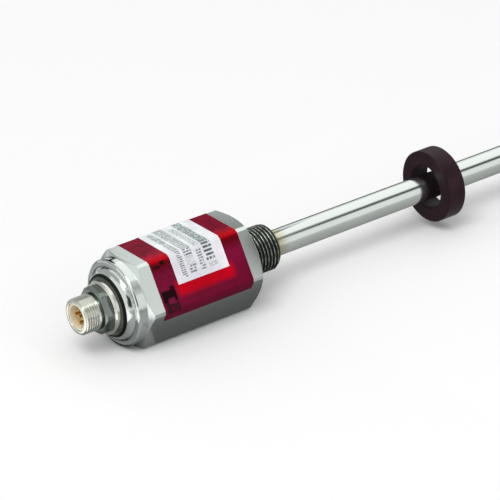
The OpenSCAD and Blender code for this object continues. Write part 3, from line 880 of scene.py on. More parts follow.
class Finish(Enum):
    """Every finish of the sensor, named for the real material."""

    # stainless bar, milled flats and a turned collar: satin, with fine lines along the bar
    HOUSING_STEEL = BarSteel(
        "stainless_304_drawn_bar", "d4dcd8", Grain.DRAWN,
        roughness=0.22, spread=0.05, line_mm=0.3, bump=0.03, stain=0.05, edge_mm=0.3)
    # turned and polished stainless: tight rings that smear each reflection round the cap
    CAP_STEEL = Steel(
        "stainless_304_turned_cap", "d2dad6", Grain.TURNED,
        roughness=0.12, spread=0.06, line_mm=0.2, bump=0.05, stain=0.05, edge_mm=0.2)
    # centreless-ground stainless tube: near mirror along it, with the weld's tint at its root
    ROD_STEEL = HeatTintedSteel(
        "stainless_316_ground_tube", "d8dfda", Grain.DRAWN,
        roughness=0.14, spread=0.05, line_mm=0.2, bump=0.03, stain=0.03, edge_mm=0.1)
    # rolled thread: grey-green roots darker as painted shade, under lighter crests as painted
    # highlights, broken into painted glints
    THREAD_STEEL = ThreadedSteel(
        "steel_rolled_thread_painted_light", "646a64", Grain.TURNED,
        roughness=0.3, spread=0.12, line_mm=0.2, bump=0.12, stain=0.2, edge_mm=0.08)
    # nickel over brass: warm white, brighter than steel
    NICKEL = Steel(
        "nickel_plated_brass", "d8dbd1", Grain.TURNED,
        roughness=0.16, spread=0.08, line_mm=0.16, bump=0.06, stain=0.08, edge_mm=0.15)
    # the same plating on the spanner hexagon, darker by painted shade, with softer reflections
    SHADED_NICKEL = Steel(
        "nickel_hexagon_painted_shade", "848e88", Grain.TURNED,
        roughness=0.26, spread=0.1, line_mm=0.2, bump=0.06, stain=0.3, edge_mm=0.15)
    # thin gold over nickel on the contacts: deep yellow, glossy
    GOLD = Steel(
        "gold_plated_contact", "d9a441", Grain.TURNED,
        roughness=0.2, spread=0.08, line_mm=0.1, bump=0.05, stain=0.05, edge_mm=0.05)
    # drawn wire of leads, small screws and the waveguide: dull silver, lines along it
    WIRE = Steel(
        "drawn_nickel_iron_wire", "b4b4ae", Grain.DRAWN,
        roughness=0.3, spread=0.1, line_mm=0.1, bump=0.05, stain=0.05, edge_mm=0.05)
    # machined brass of the clamp and end disc: yellow with turning rings
    BRASS = Steel(
        "machined_brass", "c7a75a", Grain.TURNED,
        roughness=0.3, spread=0.12, line_mm=0.15, bump=0.1, stain=0.08, edge_mm=0.08)
    # enamelled copper: warm red brown with the rings of its windings
    COPPER = Steel(
        "enamelled_copper", "b86b42", Grain.TURNED,
        roughness=0.28, spread=0.12, line_mm=0.12, bump=0.3, stain=0.08, edge_mm=0.05)
    # moulded nitrile rubber seals: near black, soft gloss on the curve
    RUBBER = Moulding(
        "nitrile_rubber", "101010", "1a1a19",
        roughness=0.42, grain_mm=0.2, bump=0.08, specks=0.1)
    # the same rubber round the connector: blacker, with painted light in grey along the flange
    PAINTED_LIGHT_RUBBER = PaintedLightSeal(
        "nitrile_rubber_painted_light", "060706", "0c0d0c",
        roughness=0.5, grain_mm=0.2, bump=0.08, specks=0.1, specular=0.15)
    # moulded magnet compound: dark maroon brown, fine grain, matt with a greyish bloom
    MAGNET = Moulding(
        "bonded_ferrite_magnet", "2c141f", "1c0c14",
        roughness=0.42, grain_mm=0.35, bump=0.2, specks=0.25, sheen=0.01, specular=0.14)
    # cream nylon of the insert: slightly waxy, light goes a little way in
    CREAM_NYLON = Moulding(
        "cream_nylon_insert", "ece4cc", "e2d8ba",
        roughness=0.4, grain_mm=0.3, bump=0.06, specks=0.1, subsurface=0.15)
    # grey glass-filled nylon of the carrier and the spacers: matt, specked with fibre
    GREY_NYLON = Moulding(
        "grey_glass_filled_nylon", "4c4f53", "44474b",
        roughness=0.55, grain_mm=0.25, bump=0.15, specks=0.3)
    # white fluoropolymer sleeve round the waveguide: smooth, waxy, a little see-into
    SLEEVE = Moulding(
        "fluoropolymer_sleeve", "ece9de", "e2dfd2",
        roughness=0.35, grain_mm=0.4, bump=0.05, specks=0.05, subsurface=0.2)
    # cast silicone damper: brick red, matt
    SILICONE = Moulding(
        "cast_silicone_damper", "8c3323", "7c2b1e",
        roughness=0.6, grain_mm=0.4, bump=0.1, specks=0.2)
    # moulded black epoxy of the chips: matt with a fine pitted grain
    EPOXY = Moulding(
        "moulded_epoxy_chip", "17181a", "101113",
        roughness=0.5, grain_mm=0.12, bump=0.15, specks=0.25)
    # fired ceramic capacitors: tan, matt
    CERAMIC = Moulding(
        "fired_ceramic_capacitor", "9c7a4e", "8c6c44",
        roughness=0.5, grain_mm=0.15, bump=0.1, specks=0.25)
    # sintered ferrite: charcoal with a coarse grain
    FERRITE = Moulding(
        "sintered_ferrite", "26262a", "1c1c20",
        roughness=0.45, grain_mm=0.2, bump=0.2, specks=0.4)
    # glass laminate of both boards: green mask, lighter tracks, a weave under it
    BOARD = Laminate("circuit_laminate_green")


@dataclass
class FinishShelf:
    """Makes each finish once and hands it out."""

    made: dict[Finish, Material] = field(default_factory=dict)

    def take(self, finish: Finish) -> Material:
        """The material of a finish, made on first use.

        Args:
            finish: The finish.

        Returns:
            Its material.
        """
        if finish not in self.made:
            self.made[finish] = finish.value.build()
        return self.made[finish]


# Threads


@dataclass(frozen=True)
class Thread:
    """A right-hand thread that Geometry Nodes cut into a finely ringed round piece.

    Shares are parts of the pitch, counted from the middle of a root: the root's
    flat ends at root_share, the crest's begins at crest_share, and the crest's
    middle is at half a pitch. The groove runs in and out over run_share at each
    end.
    """

    pitch: float
    depth: float
    crest_r: float
    start: float
    end: float
    root_share: float = 0.125
    crest_share: float = 0.4375
    run_share: float = 0.6

    def sizes(self) -> dict[str, float]:
        """The node tree's sizes.

        Returns:
            Each named input and its value, lengths in metres.
        """
        run = self.run_share * self.pitch
        lengths = {
            "Pitch": self.pitch, "Crest Radius": self.crest_r,
            "Root Radius": self.crest_r - self.depth, "Start": self.start,
            "Full From": self.start + run, "Full To": self.end - run, "End": self.end}
        return {name: length * MM for name, length in lengths.items()}

    def groove(self, tree: Tree, size: Mapping[str, Socket], split: Mapping[str, Socket]) -> Node:
        """How deep the groove is at each place, were it cut over the whole length.

        Args:
            tree: The node tree.
            size: Its inputs by name.
            split: The point's X, Y and Z.

        Returns:
            The node that gives nought on a crest and one in a root.
        """
        # turns along the axis, less the share of a turn round it
        angle = add_node(tree, "ShaderNodeMath", {0: split["Z"], 1: split["Y"]},
                         operation="ARCTAN2")
        round_it = add_node(tree, "ShaderNodeMath", {0: angle, 1: TAU}, operation="DIVIDE")
        along = add_node(tree, "ShaderNodeMath", {0: split["X"], 1: size["Pitch"]},
                         operation="DIVIDE")
        turns = add_node(tree, "ShaderNodeMath", {0: along, 1: round_it}, operation="SUBTRACT")
        wave = add_node(tree, "ShaderNodeMath", {0: turns, 1: 0.5}, operation="PINGPONG")
        return add_node(tree, "ShaderNodeMapRange", {
            "Value": wave, "From Min": self.crest_share, "From Max": self.root_share})

    def tree(self) -> bpy.types.GeometryNodeTree:
        """Builds the node tree, with its sizes as named inputs.

        Returns:
            A tree that pulls each point in to the thread's form at its place.
        """
        tree = bpy.data.node_groups.new("cut_thread", "GeometryNodeTree")
        sockets = {"Geometry": "NodeSocketGeometry", "Material": "NodeSocketMaterial"}
        for name in ("Geometry", *self.sizes(), "Material"):
            tree.interface.new_socket(name, in_out="INPUT",
                                      socket_type=sockets.get(name, "NodeSocketFloat"))
        tree.interface.new_socket("Geometry", in_out="OUTPUT", socket_type="NodeSocketGeometry")
        size = add_node(tree, "NodeGroupInput").outputs
        place = add_node(tree, "GeometryNodeInputPosition")
        split = add_node(tree, "ShaderNodeSeparateXYZ", {0: place}).outputs
        across = add_node(tree, "ShaderNodeCombineXYZ", {"Y": split["Y"], "Z": split["Z"]})
        radius = add_node(tree, "ShaderNodeVectorMath", {0: across},
                          operation="LENGTH").outputs["Value"]
        rise = add_node(tree, "ShaderNodeMapRange", {
            "Value": split["X"], "From Min": size["Start"], "From Max": size["Full From"]})
        fall = add_node(tree, "ShaderNodeMapRange", {
            "Value": split["X"], "From Min": size["End"], "From Max": size["Full To"]})
        ends = add_node(tree, "ShaderNodeMath", {0: rise, 1: fall}, operation="MINIMUM")
        share = add_node(tree, "ShaderNodeMath", {0: self.groove(tree, size, split), 1: ends},
                         operation="MULTIPLY")
        form = add_node(tree, "ShaderNodeMapRange", {
            "Value": share, "To Min": size["Crest Radius"], "To Max": size["Root Radius"]})
        wanted = add_node(tree, "ShaderNodeMath", {0: radius, 1: form}, operation="MINIMUM")
        scale = add_node(tree, "ShaderNodeMath", {0: wanted, 1: radius}, operation="DIVIDE")
        scales = add_node(tree, "ShaderNodeCombineXYZ", {"X": 1.0, "Y": scale, "Z": scale})
        moved = add_node(tree, "ShaderNodeVectorMath", {0: place, 1: scales},
                         operation="MULTIPLY")
        inside = add_node(tree, "ShaderNodeMath", {0: ends, 1: 0.0}, operation="GREATER_THAN")
        shaped = add_node(tree, "GeometryNodeSetPosition", {
            "Geometry": size["Geometry"], "Selection": inside, "Position": moved})
        real = add_node(tree, "GeometryNodeRealizeInstances", {"Geometry": shaped})
        dressed = add_node(tree, "GeometryNodeSetMaterial", {
            "Geometry": real, "Material": size["Material"]})
        add_node(tree, "NodeGroupOutput", {"Geometry": dressed})
        return tree

    def cut(self, name: str, blank: Mesh, material: Material) -> Mesh:
        """Cuts the thread into a blank.

        Args:
            name: Name of the piece that the blank is for.
            blank: A turned mesh with fine rings where the thread goes.
            material: The thread's finish.

        Returns:
            A plain mesh; the blank's object and its modifier are gone.
        """
        tree = self.tree()
        piece = mesh_object(name + "_blank", blank)
        modifier = piece.modifiers.new("thread", "NODES")
        modifier.node_group = tree
        given: dict[str, Any] = {**self.sizes(), "Material": material}
        for item in tree.interface.items_tree:
            if item.in_out == "INPUT" and item.name in given:
                modifier[item.identifier] = given[item.name]
        bpy.context.view_layer.update()
        graph = bpy.context.evaluated_depsgraph_get()
        mesh = bpy.data.meshes.new_from_object(piece.evaluated_get(graph), depsgraph=graph)
        piece.modifiers.remove(modifier)
        bpy.data.objects.remove(piece)
        return mesh


# Sub-assemblies


@dataclass
class SubAssembly:
    """What all sub-assemblies share: the frame's nodes and the finishes."""

    nodes: dict[str, Object]
    shelf: FinishShelf

    def wear(self, finish: Finish, *names: str) -> None:
        """Gives CAD nodes a finish.

        Args:
            finish: The finish.
            *names: The nodes that wear it.
        """
        for name in names:
            dress(self.nodes[name], self.shelf.take(finish))
            log.info("%s wears %s", name, finish.value.name)

    def place(self, piece: Object, body: str, slot: str, node: str) -> None:
        """Puts a new piece in place of its CAD node: attaches it to its body and hides the node.

        Args:
            piece: The piece.
            body: The body that it rides on.
            slot: Name of a material slot; not used.
            node: The CAD node that it stands for.
        """
        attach(piece, body)
        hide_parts(node)
        log.info("%s rides on %s, %d faces", piece.name, body, len(piece.data.polygons))


@dataclass
class MountingStud(SubAssembly):
    """The threaded stud behind the hexagon, thread M18 by 1.5."""

    crest_r: float = 9.0
    pitch: float = 1.5
    depth: float = 0.92
    length: float = 15.2
    chamfer: float = 1.1
    chamfer_steps: int = 14
    seat_r: float = 9.3
    seat_x: float = -0.05
    shoulder_r: float = 12.0
    shoulder_chamfer: float = 0.5
    shoulder_x: float = -13.0
    wall_x: float = -9.0
    passage_r: float = 3.2
    rod_r: float = 5.12
    rod_x: float = -10.0
    rod_chamfer: float = 0.15
    undercut: float = 0.1
    undercut_x: float = 0.7
    relief_x: float = 1.0
    relief_rise: float = 0.2
    thread_gap: float = 0.3
    overrun: float = 0.5
    rings: int = 200
    segments: int = 160
    sharp_deg: float = 30.0

    def profile(self) -> list[tuple[float, float]]:
        """The section of the blank.

        Returns:
            Points (x, radius), with fine rings where the thread goes.
        """
        root_r = self.crest_r - self.depth
        thread_end = self.length - self.chamfer
        behind = [
            (self.shoulder_x, self.passage_r),
            (self.shoulder_x, self.shoulder_r - self.shoulder_chamfer),
            (self.shoulder_x + self.shoulder_chamfer, self.shoulder_r),
            (self.wall_x, self.shoulder_r), (self.wall_x, self.seat_r),
            (self.seat_x, self.seat_r), (self.seat_x, root_r - self.undercut),
            (self.undercut_x, root_r - self.undercut),
            (self.relief_x, root_r + self.relief_rise),
        ]
        threaded = rows(self.relief_x + self.thread_gap, thread_end, self.crest_r, self.rings)
        steps = [self.chamfer * i / self.chamfer_steps for i in range(1, self.chamfer_steps + 1)]
        chamfered = [(thread_end + step, self.crest_r - step) for step in steps]
        bore = [
            (self.length, self.rod_r + self.rod_chamfer),
            (self.length - self.rod_chamfer, self.rod_r),
            (self.rod_x, self.rod_r), (self.rod_x, self.passage_r),
        ]
        return behind + threaded + chamfered + bore

    def build(self) -> None:
        """Turns the stud, cuts its thread and puts it in place of the plain one."""
        bm = bmesh.new()
        lathe(bm, self.profile(), self.segments)
        thread = Thread(self.pitch, self.depth, self.crest_r, self.relief_x,
                        self.length + self.overrun)
        mesh = thread.cut("stud", finished_mesh("stud_blank", bm),
                          self.shelf.take(Finish.THREAD_STEEL))
        shade(mesh, self.sharp_deg)
        piece = mesh_object("stud_with_thread", mesh)
        self.place(piece, "sensor", "thread_steel", "threaded_stud")


@dataclass
class Receptacle(SubAssembly):
    """The round connector: threaded shell, hexagon, flange, insert and contacts."""

    crest_r: float = 7.0
    pitch: float = 1.0
    depth: float = 0.55
    front_x: float = -71.8
    rim: float = 0.6
    rim_steps: int = 5
    nose: float = 0.12
    nose_inner: float = 0.15
    nose_outer: float = 0.1
    mouth_chamfer: float = 0.25
    thread_end_x: float = -65.2
    thread_end_step: float = 0.02
    lead_in: float = 0.1
    overrun: float = 0.01
    rings: int = 110
    neck_depth: float = 0.8
    hex_x0: float = -64.4
    hex_x1: float = -61.0
    hex_af: float = 16.4
    hex_turned_r: float = 9.02
    hex_core_depth: float = 0.9
    hex_sink: float = 0.02
    hex_steps: int = 192
    corner_start: float = 0.05
    corner_deg: float = 30.0
    corner_round: float = 0.12
    corner_land: float = 0.15
    flange_r: float = 10.3
    flange_x1: float = -57.8
    flange_chamfer: float = 0.7
    stem_r: float = 6.6
    stem_x1: float = -50.0
    bore_r: float = 5.22
    inner_r: float = 4.02
    segments: int = 144
    sharp_deg: float = 28.0

    def profile(self) -> list[tuple[float, float]]:
        """The section of the turned shell.

        Returns:
            Points (x, radius), with fine rings where the thread goes.
        """
        rim_x, rim_r = self.front_x + self.nose, self.crest_r - self.rim
        neck_r = self.crest_r - self.neck_depth
        mouth = [
            (self.front_x + self.mouth_chamfer, self.bore_r),
            (self.front_x, self.bore_r + self.mouth_chamfer),
            (self.front_x, rim_r - self.nose_inner), (rim_x, rim_r + self.nose_outer),
        ]
        shares = [i / self.rim_steps for i in range(1, self.rim_steps + 1)]
        slope = [
            (rim_x + self.rim * t, rim_r + self.nose_outer + (self.rim - self.nose_outer) * t)
            for t in shares
        ]
        threaded = rows(rim_x + self.rim, self.thread_end_x, self.crest_r, self.rings)[1:]
        behind = [
            (self.thread_end_x + self.thread_end_step, neck_r), (self.hex_x1, neck_r),
            (self.hex_x1, self.flange_r - self.flange_chamfer),
            (self.hex_x1 + self.flange_chamfer, self.flange_r),
            (self.flange_x1, self.flange_r), (self.flange_x1, self.stem_r),
            (self.stem_x1, self.stem_r), (self.stem_x1, self.inner_r),
            (self.hex_x1, self.inner_r), (self.hex_x1, self.bore_r),
        ]
        return mouth + slope + threaded + behind

    def hexagon(self, bm: BMesh) -> None:
        """Adds the spanner hexagon, with the front ends of its corners turned off.

        Args:
            bm: The bmesh that takes its faces, as the second material.
        """
        core_r = self.crest_r - self.hex_core_depth
        turned_from = self.hex_af / 2 + self.corner_start
        slope = math.tan(math.radians(self.corner_deg))
        back_x = self.hex_x1 + self.hex_sink
        sections = []
        for i in range(self.hex_steps):
            angle = TAU * i / self.hex_steps
            r = hexagon_reach(angle, self.hex_af / 2, self.hex_turned_r)
            drop = max(0.0, r - turned_from) * slope + self.corner_round
            points = [
                (self.hex_x0, core_r), (self.hex_x0, min(r, turned_from) - self.corner_land),
                (self.hex_x0 + drop, r), (back_x, r), (back_x, core_r),
            ]
            y, z = MM * math.cos(angle), MM * math.sin(angle)
            sections.append([bm.verts.new((x * MM, q * y, q * z)) for x, q in points])
        for a, b in zip(sections, sections[1:] + sections[:1]):
            for k in range(len(a)):
                j = (k + 1) % len(a)
                bm.faces.new((a[k], a[j], b[j], b[k])).material_index = 1

    def build(self) -> None:
        """Makes the threaded shell and dresses what it holds."""
        material = self.shelf.take(Finish.NICKEL)
        bm = bmesh.new()
        lathe(bm, self.profile(), self.segments)
        thread = Thread(self.pitch, self.depth, self.crest_r, self.front_x - self.lead_in,
                        self.thread_end_x + self.overrun)
        mesh = thread.cut("shell", finished_mesh("shell_blank", bm), material)
        bm = bmesh.new()
        bm.from_mesh(mesh)
        self.hexagon(bm)
        joined = finished_mesh("receptacle_shell", bm, self.sharp_deg)
        joined.materials.append(material)
        # second material: the hexagon's darker plating, painted shade
        joined.materials.append(self.shelf.take(Finish.SHADED_NICKEL))
        piece = mesh_object("receptacle_shell", joined)
        self.place(piece, "sensor", "nickel_plate", "connector_shell")
        self.wear(Finish.NICKEL, "connector_nut")
        self.wear(Finish.CREAM_NYLON, "connector_insert")
        self.wear(Finish.GOLD, "contact_pins")
        # the seal's grey inner edge is painted light, mirrored in the flange's side
        self.wear(Finish.PAINTED_LIGHT_RUBBER, "connector_seal")
        self.wear(Finish.BOARD, "connector_board")
        self.wear(Finish.WIRE, "connector_leads")


@dataclass(frozen=True)
class LabelStrip:
    """The shape of a printed film laid round the hexagon.

    Its own map runs along the housing from its front edge, and round it from
    the edge nearest the viewer, both in metres.
    """

    name: str
    x0: float
    x1: float
    lift: float
    start_deg: float
    end_deg: float
    film_t: float = 0.15
    hex_af: float = 34.0
    corner_r: float = 19.2
    steps_round: int = 360
    steps_along: int = 6
    sharp_deg: float = 40.0

    def outline(self, lift: float) -> list[tuple[float, float]]:
        """The hexagon with turned corners, moved out by a lift.

        Args:
            lift: Distance off the housing.

        Returns:
            Points (y, z) from the start angle to the end angle, counted from +Y.
        """
        points = []
        for i in range(self.steps_round + 1):
            share = i / self.steps_round
            angle = math.radians(self.start_deg + (self.end_deg - self.start_deg) * share)
            r = hexagon_reach(angle, self.hex_af / 2 + lift, self.corner_r + lift)
            points.append((r * math.cos(angle), r * math.sin(angle)))
        return points

    def build(self) -> Object:
        """Makes the strip as a closed film with its own map.

        Returns:
            The piece.
        """
        outer, inner = self.outline(self.lift + self.film_t), self.outline(self.lift)
        width = self.x1 - self.x0
        along = [width * k / self.steps_along for k in range(self.steps_along + 1)]
        walked = [0.0]
        for p, q in zip(outer, outer[1:]):
            walked.append(walked[-1] + math.dist(p, q))
        bm = bmesh.new()
        chart = bm.loops.layers.uv.new(FILM_MAP)
        sides = [
            [[bm.verts.new(((self.x0 + u) * MM, y * MM, z * MM)) for u in along]
             for y, z in points]
            for points in (outer, inner)
        ]

        def lay(*spots: tuple[int, int, int]) -> None:
            """Makes a face of corners given by side, step round and step along."""
            face = bm.faces.new([sides[side][i][k] for side, i, k in spots])
            for loop, (_, i, k) in zip(face.loops, spots):
                loop[chart].uv = (along[k] * MM, (walked[-1] - walked[i]) * MM)

        for i in range(self.steps_round):
            for k in range(self.steps_along):
                for side in (0, 1):
                    lay((side, i, k), (side, i, k + 1), (side, i + 1, k + 1), (side, i + 1, k))
            for k in (0, self.steps_along):
                lay((0, i, k), (0, i + 1, k), (1, i + 1, k), (1, i, k))
        for i in (0, self.steps_round):
            for k in range(self.steps_along):
                lay((0, i, k), (0, i, k + 1), (1, i, k + 1), (1, i, k))
        return mesh_object(self.name, finished_mesh(self.name, bm, self.sharp_deg))


@dataclass
class Housing(SubAssembly):
    """The hexagon with its cap, its seals and its films."""

    wrap: LabelStrip = LabelStrip("wrap_film", -45.5, -6.0, lift=0.02,
                                  start_deg=-12.0, end_deg=192.0)
    data: LabelStrip = LabelStrip("data_film", -36.8, -14.0, lift=0.19,
                                  start_deg=25.0, end_deg=155.0)

    def wrap_look(self) -> Film:
        """Glossy red polyester, with darker printed fields of plain shape and one lighter
        field that is a painted reflection.

        Returns:
            The film's finish: wine red that darkens towards the lower edge as painted
            reflection and turns vivid at the upper edge as a painted highlight, under a
            clear coat.
        """
        painted_reflection_red, black, dusk, plum = "c00018", "0c0508", "2e1420", "7c1440"
        # painted light: the ground grades from dark wine at the lower edge to vivid red at the
        # upper edge, a painted reflection, with a painted highlight at that edge, a painted dark
        # line just below it and a pinker painted highlight above it
        ground = (
            (0.0, "5e0a28"), (3.9, "620a28"), (4.6, "6c0a2c"), (13.7, "720c30"),
            (17.5, "780e34"), (20.6, "64041a"), (22.2, "6a0008"), (23.5, "b40014"),
            (25.2, "b80a20"), (27.5, "9c1434"), (30.5, "800a2a"), (60.0, "7c0828"))
        # u0, u1, v0, v1, colour, ink_and_light, soft, dash_mm, row_mm, fill
        patches = (
            # painted reflection: a vivid red band just below the white film
            Patch(7.6, 33.0, 8.4, 14.0, painted_reflection_red, 0.95, 2.2),
            Patch(1.0, 6.7, 3.4, 8.0, dusk, 0.9, 0.5, 1.4, 0.0, 0.95),
            Patch(0.6, 6.6, 7.8, 12.0, black, 0.96, 0.4),
            Patch(4.6, 6.6, 11.8, 13.2, black, 0.9, 0.5),
            Patch(2.6, 5.4, 6.9, 8.9, plum, 0.8, 0.7),
            Patch(1.2, 6.4, 13.8, 19.8, dusk, 0.4, 0.8, 1.3, 0.0, 0.3),
            Patch(4.2, 6.2, 21.2, 23.0, black, 0.9, 0.6),
            Patch(0.8, 3.8, 20.4, 21.8, black, 0.75, 0.6),
            Patch(0.8, 6.6, 25.0, 38.0, dusk, 0.45, 1.0, 1.8, 0.0, 0.4),
            Patch(33.0, 38.8, 25.0, 38.0, dusk, 0.4, 1.0, 1.8, 0.0, 0.4),
        )
        return Film("gloss_red_polyester_film", ground, roughness=0.35, coat=0.05,
                    specular=0.015, wave=0.08, patches=patches)

    def data_look(self) -> Film:
        """Satin white polyester, with columns of grey bars in place of any wording.

        Returns:
            The film's finish.
        """
        dark, mid = "36424c", "5c6870"
        pale, grey, green, light = "a2b0ac", "82908e", "688078", "c4cacc"
        # painted shade: the ground is a little darker and greyer up to 11 mm, on the face nearest
        # the viewer, than on the top face
        ground = ((0.0, "e4e3ea"), (11.0, "e6e6ec"), (13.0, "eef2f4"), (42.0, "eef4f6"))
        # u0, u1, v0, v1, colour, ink_and_light, soft, dash_mm, row_mm, fill
        patches = (
            Patch(3.0, 5.0, 1.6, 12.0, mid, 0.8, 0.2, 0.7, 0.8, 0.75),
            Patch(6.2, 9.6, 8.4, 11.8, dark, 0.85, 0.2, 0.7, 1.1, 0.75),
            Patch(6.4, 9.8, 5.4, 8.4, light, 0.8, 0.4, 0.8, 0.0, 0.8),
            Patch(6.6, 9.9, 2.2, 5.4, dark, 0.8, 0.2, 0.7, 1.1, 0.7),
            Patch(11.4, 13.6, 2.2, 10.0, mid, 0.8, 0.2, 0.7, 1.0, 0.75),
            Patch(14.6, 18.4, 4.2, 11.8, dark, 0.9, 0.2, 0.8, 1.5, 0.8),
            Patch(15.0, 18.6, 2.2, 3.8, pale, 0.7, 0.3, 0.8, 0.0, 0.7),
            Patch(2.6, 5.0, 12.0, 29.0, pale, 0.4, 0.7),
            Patch(2.6, 5.0, 12.0, 29.0, grey, 0.8, 0.3, 0.6, 0.0, 0.5),
            Patch(6.0, 9.9, 12.0, 30.5, pale, 0.4, 0.7),
            Patch(6.0, 9.9, 12.0, 30.5, grey, 0.8, 0.3, 0.6, 1.3, 0.7),
            Patch(11.4, 13.8, 11.5, 28.0, pale, 0.75, 0.5, 0.6, 0.0, 0.6),
            Patch(14.6, 18.2, 12.0, 30.5, pale, 0.5, 0.7),
            Patch(14.6, 18.2, 12.0, 30.5, green, 0.9, 0.3, 0.6, 0.0, 0.6),
        )
        return Film("satin_white_polyester_film", ground, roughness=0.4, coat=0.1,
                    specular=0.2, wave=0.04, patches=patches)

    def build(self) -> None:
        """Dresses the housing's metal and seals, and lays both films."""
        self.wear(Finish.HOUSING_STEEL, "hex_housing")
        self.wear(Finish.CAP_STEEL, "end_cap")
        self.wear(Finish.RUBBER, "port_seal", "skirt_seal")
        for strip, look, slot, node in (
                (self.wrap, self.wrap_look(), "red_film", "wrap_label"),
                (self.data, self.data_look(), "white_film", "data_label")):
            piece = strip.build()
            dress(piece, look.build())
            self.place(piece, "sensor", slot, node)


@dataclass
class RodAndMagnet(SubAssembly):
    """The long ground rod and the ring magnet that slides round it."""

    def build(self) -> None:
        """Dresses the rod, its plug and the magnet."""
        self.wear(Finish.ROD_STEEL, "sensor_rod", "rod_end_plug")
        self.wear(Finish.MAGNET, "ring_magnet")


@dataclass
class SensingElement(SubAssembly):
    """The waveguide with its sleeve, return wire, damper and pickup head."""

    def build(self) -> None:
        """Dresses every inner piece of the rod and the pickup."""
        self.wear(Finish.WIRE, "waveguide_wire", "clamp_screws")
        self.wear(Finish.SLEEVE, "waveguide_sleeve")
        self.wear(Finish.COPPER, "return_wire", "pickup_coil")
        self.wear(Finish.GREY_NYLON, "rod_spacers")
        self.wear(Finish.SILICONE, "end_damper")
        self.wear(Finish.BRASS, "end_ferrule", "waveguide_clamp")
        self.wear(Finish.CREAM_NYLON, "pickup_bobbin")
        self.wear(Finish.FERRITE, "bias_magnet")


@dataclass
class Electronics(SubAssembly):
    """The board, its parts, the moulded carrier and the screening sleeve."""

    def build(self) -> None:
        """Dresses the electronics inside the housing."""
        self.wear(Finish.GREY_NYLON, "board_carrier")
        self.wear(Finish.BOARD, "circuit_board")
        self.wear(Finish.WIRE, "board_screws")
        self.wear(Finish.EPOXY, "processor_chip", "driver_chips")
        self.wear(Finish.CERAMIC, "filter_capacitors")
        self.wear(Finish.FERRITE, "pulse_inductor")
        self.wear(Finish.COPPER, "screen_sleeve")


# Studio


def even(level: float) -> tuple[tuple[float, float], ...]:
    """One level all over a card."""
    return ((0.0, level),)


@dataclass(frozen=True)
class Card:
    """A plain card that only shows in the gloss, in metres.

    The levels are (share of the height, brightness) from its lower edge to its
    upper one, or a single one. It looks from its middle to the point that it faces.
    """

    name: str
    middle: tuple[float, float, float]
    faces: tuple[float, float, float]
    width: float
    height: float
    levels: tuple[tuple[float, float], ...]
    up: tuple[float, float, float] = (0.0, 0.0, 1.0)

    def mesh(self) -> Mesh:
        """One square face, with a map from nought to one.

        Returns:
            The mesh, in place.
        """
        middle = Vector(self.middle)
        normal = (Vector(self.faces) - middle).normalized()
        side = normal.cross(Vector(self.up).normalized()).normalized()
        rise = side.cross(normal)
        bm = bmesh.new()
        chart = bm.loops.layers.uv.new(CARD_MAP)
        marks = ((0.0, 0.0), (1.0, 0.0), (1.0, 1.0), (0.0, 1.0))
        face = bm.faces.new([
            bm.verts.new(
                middle + side * ((u - 0.5) * self.width) + rise * ((v - 0.5) * self.height))
            for u, v in marks])
        for loop, mark in zip(face.loops, marks):
            loop[chart].uv = mark
        return plain_mesh(self.name, bm)

    def tone(self, tree: Tree) -> Node | tuple[float, float, float, float]:
        """What goes into the colour of the card's glow.

        Args:
            tree: The material's tree.

        Returns:
            A plain grey for a single level, otherwise the node that grades them.
        """
        greys = [(place, (level, level, level, 1.0)) for place, level in self.levels]
        if len(greys) == 1:
            return greys[0][1]
        chart = add_node(tree, "ShaderNodeUVMap", uv_map=CARD_MAP)
        split = add_node(tree, "ShaderNodeSeparateXYZ", {0: chart})
        ramp = add_node(tree, "ShaderNodeValToRGB", {"Fac": split.outputs["Y"]})
        set_stops(ramp.color_ramp, greys)
        return ramp

    def material(self) -> Material:
        """A plain glow, even or graded up the card.

        Returns:
            The material.
        """
        material = bpy.data.materials.new(self.name)
        material.use_nodes = True
        tree = material.node_tree
        tree.nodes.remove(tree.nodes["Principled BSDF"])
        glow = add_node(tree, "ShaderNodeEmission", {"Color": self.tone(tree), "Strength": 1.0})
        feed(tree, tree.nodes["Material Output"], {"Surface": glow})
        return material

    def hang(self) -> None:
        """Hangs the card; it shows in reflections and nowhere else."""
        piece = mesh_object(self.name, self.mesh())
        dress(piece, self.material())
        piece.visible_camera = False
        piece.visible_diffuse = False
        piece.visible_shadow = False
        piece.visible_transmission = False


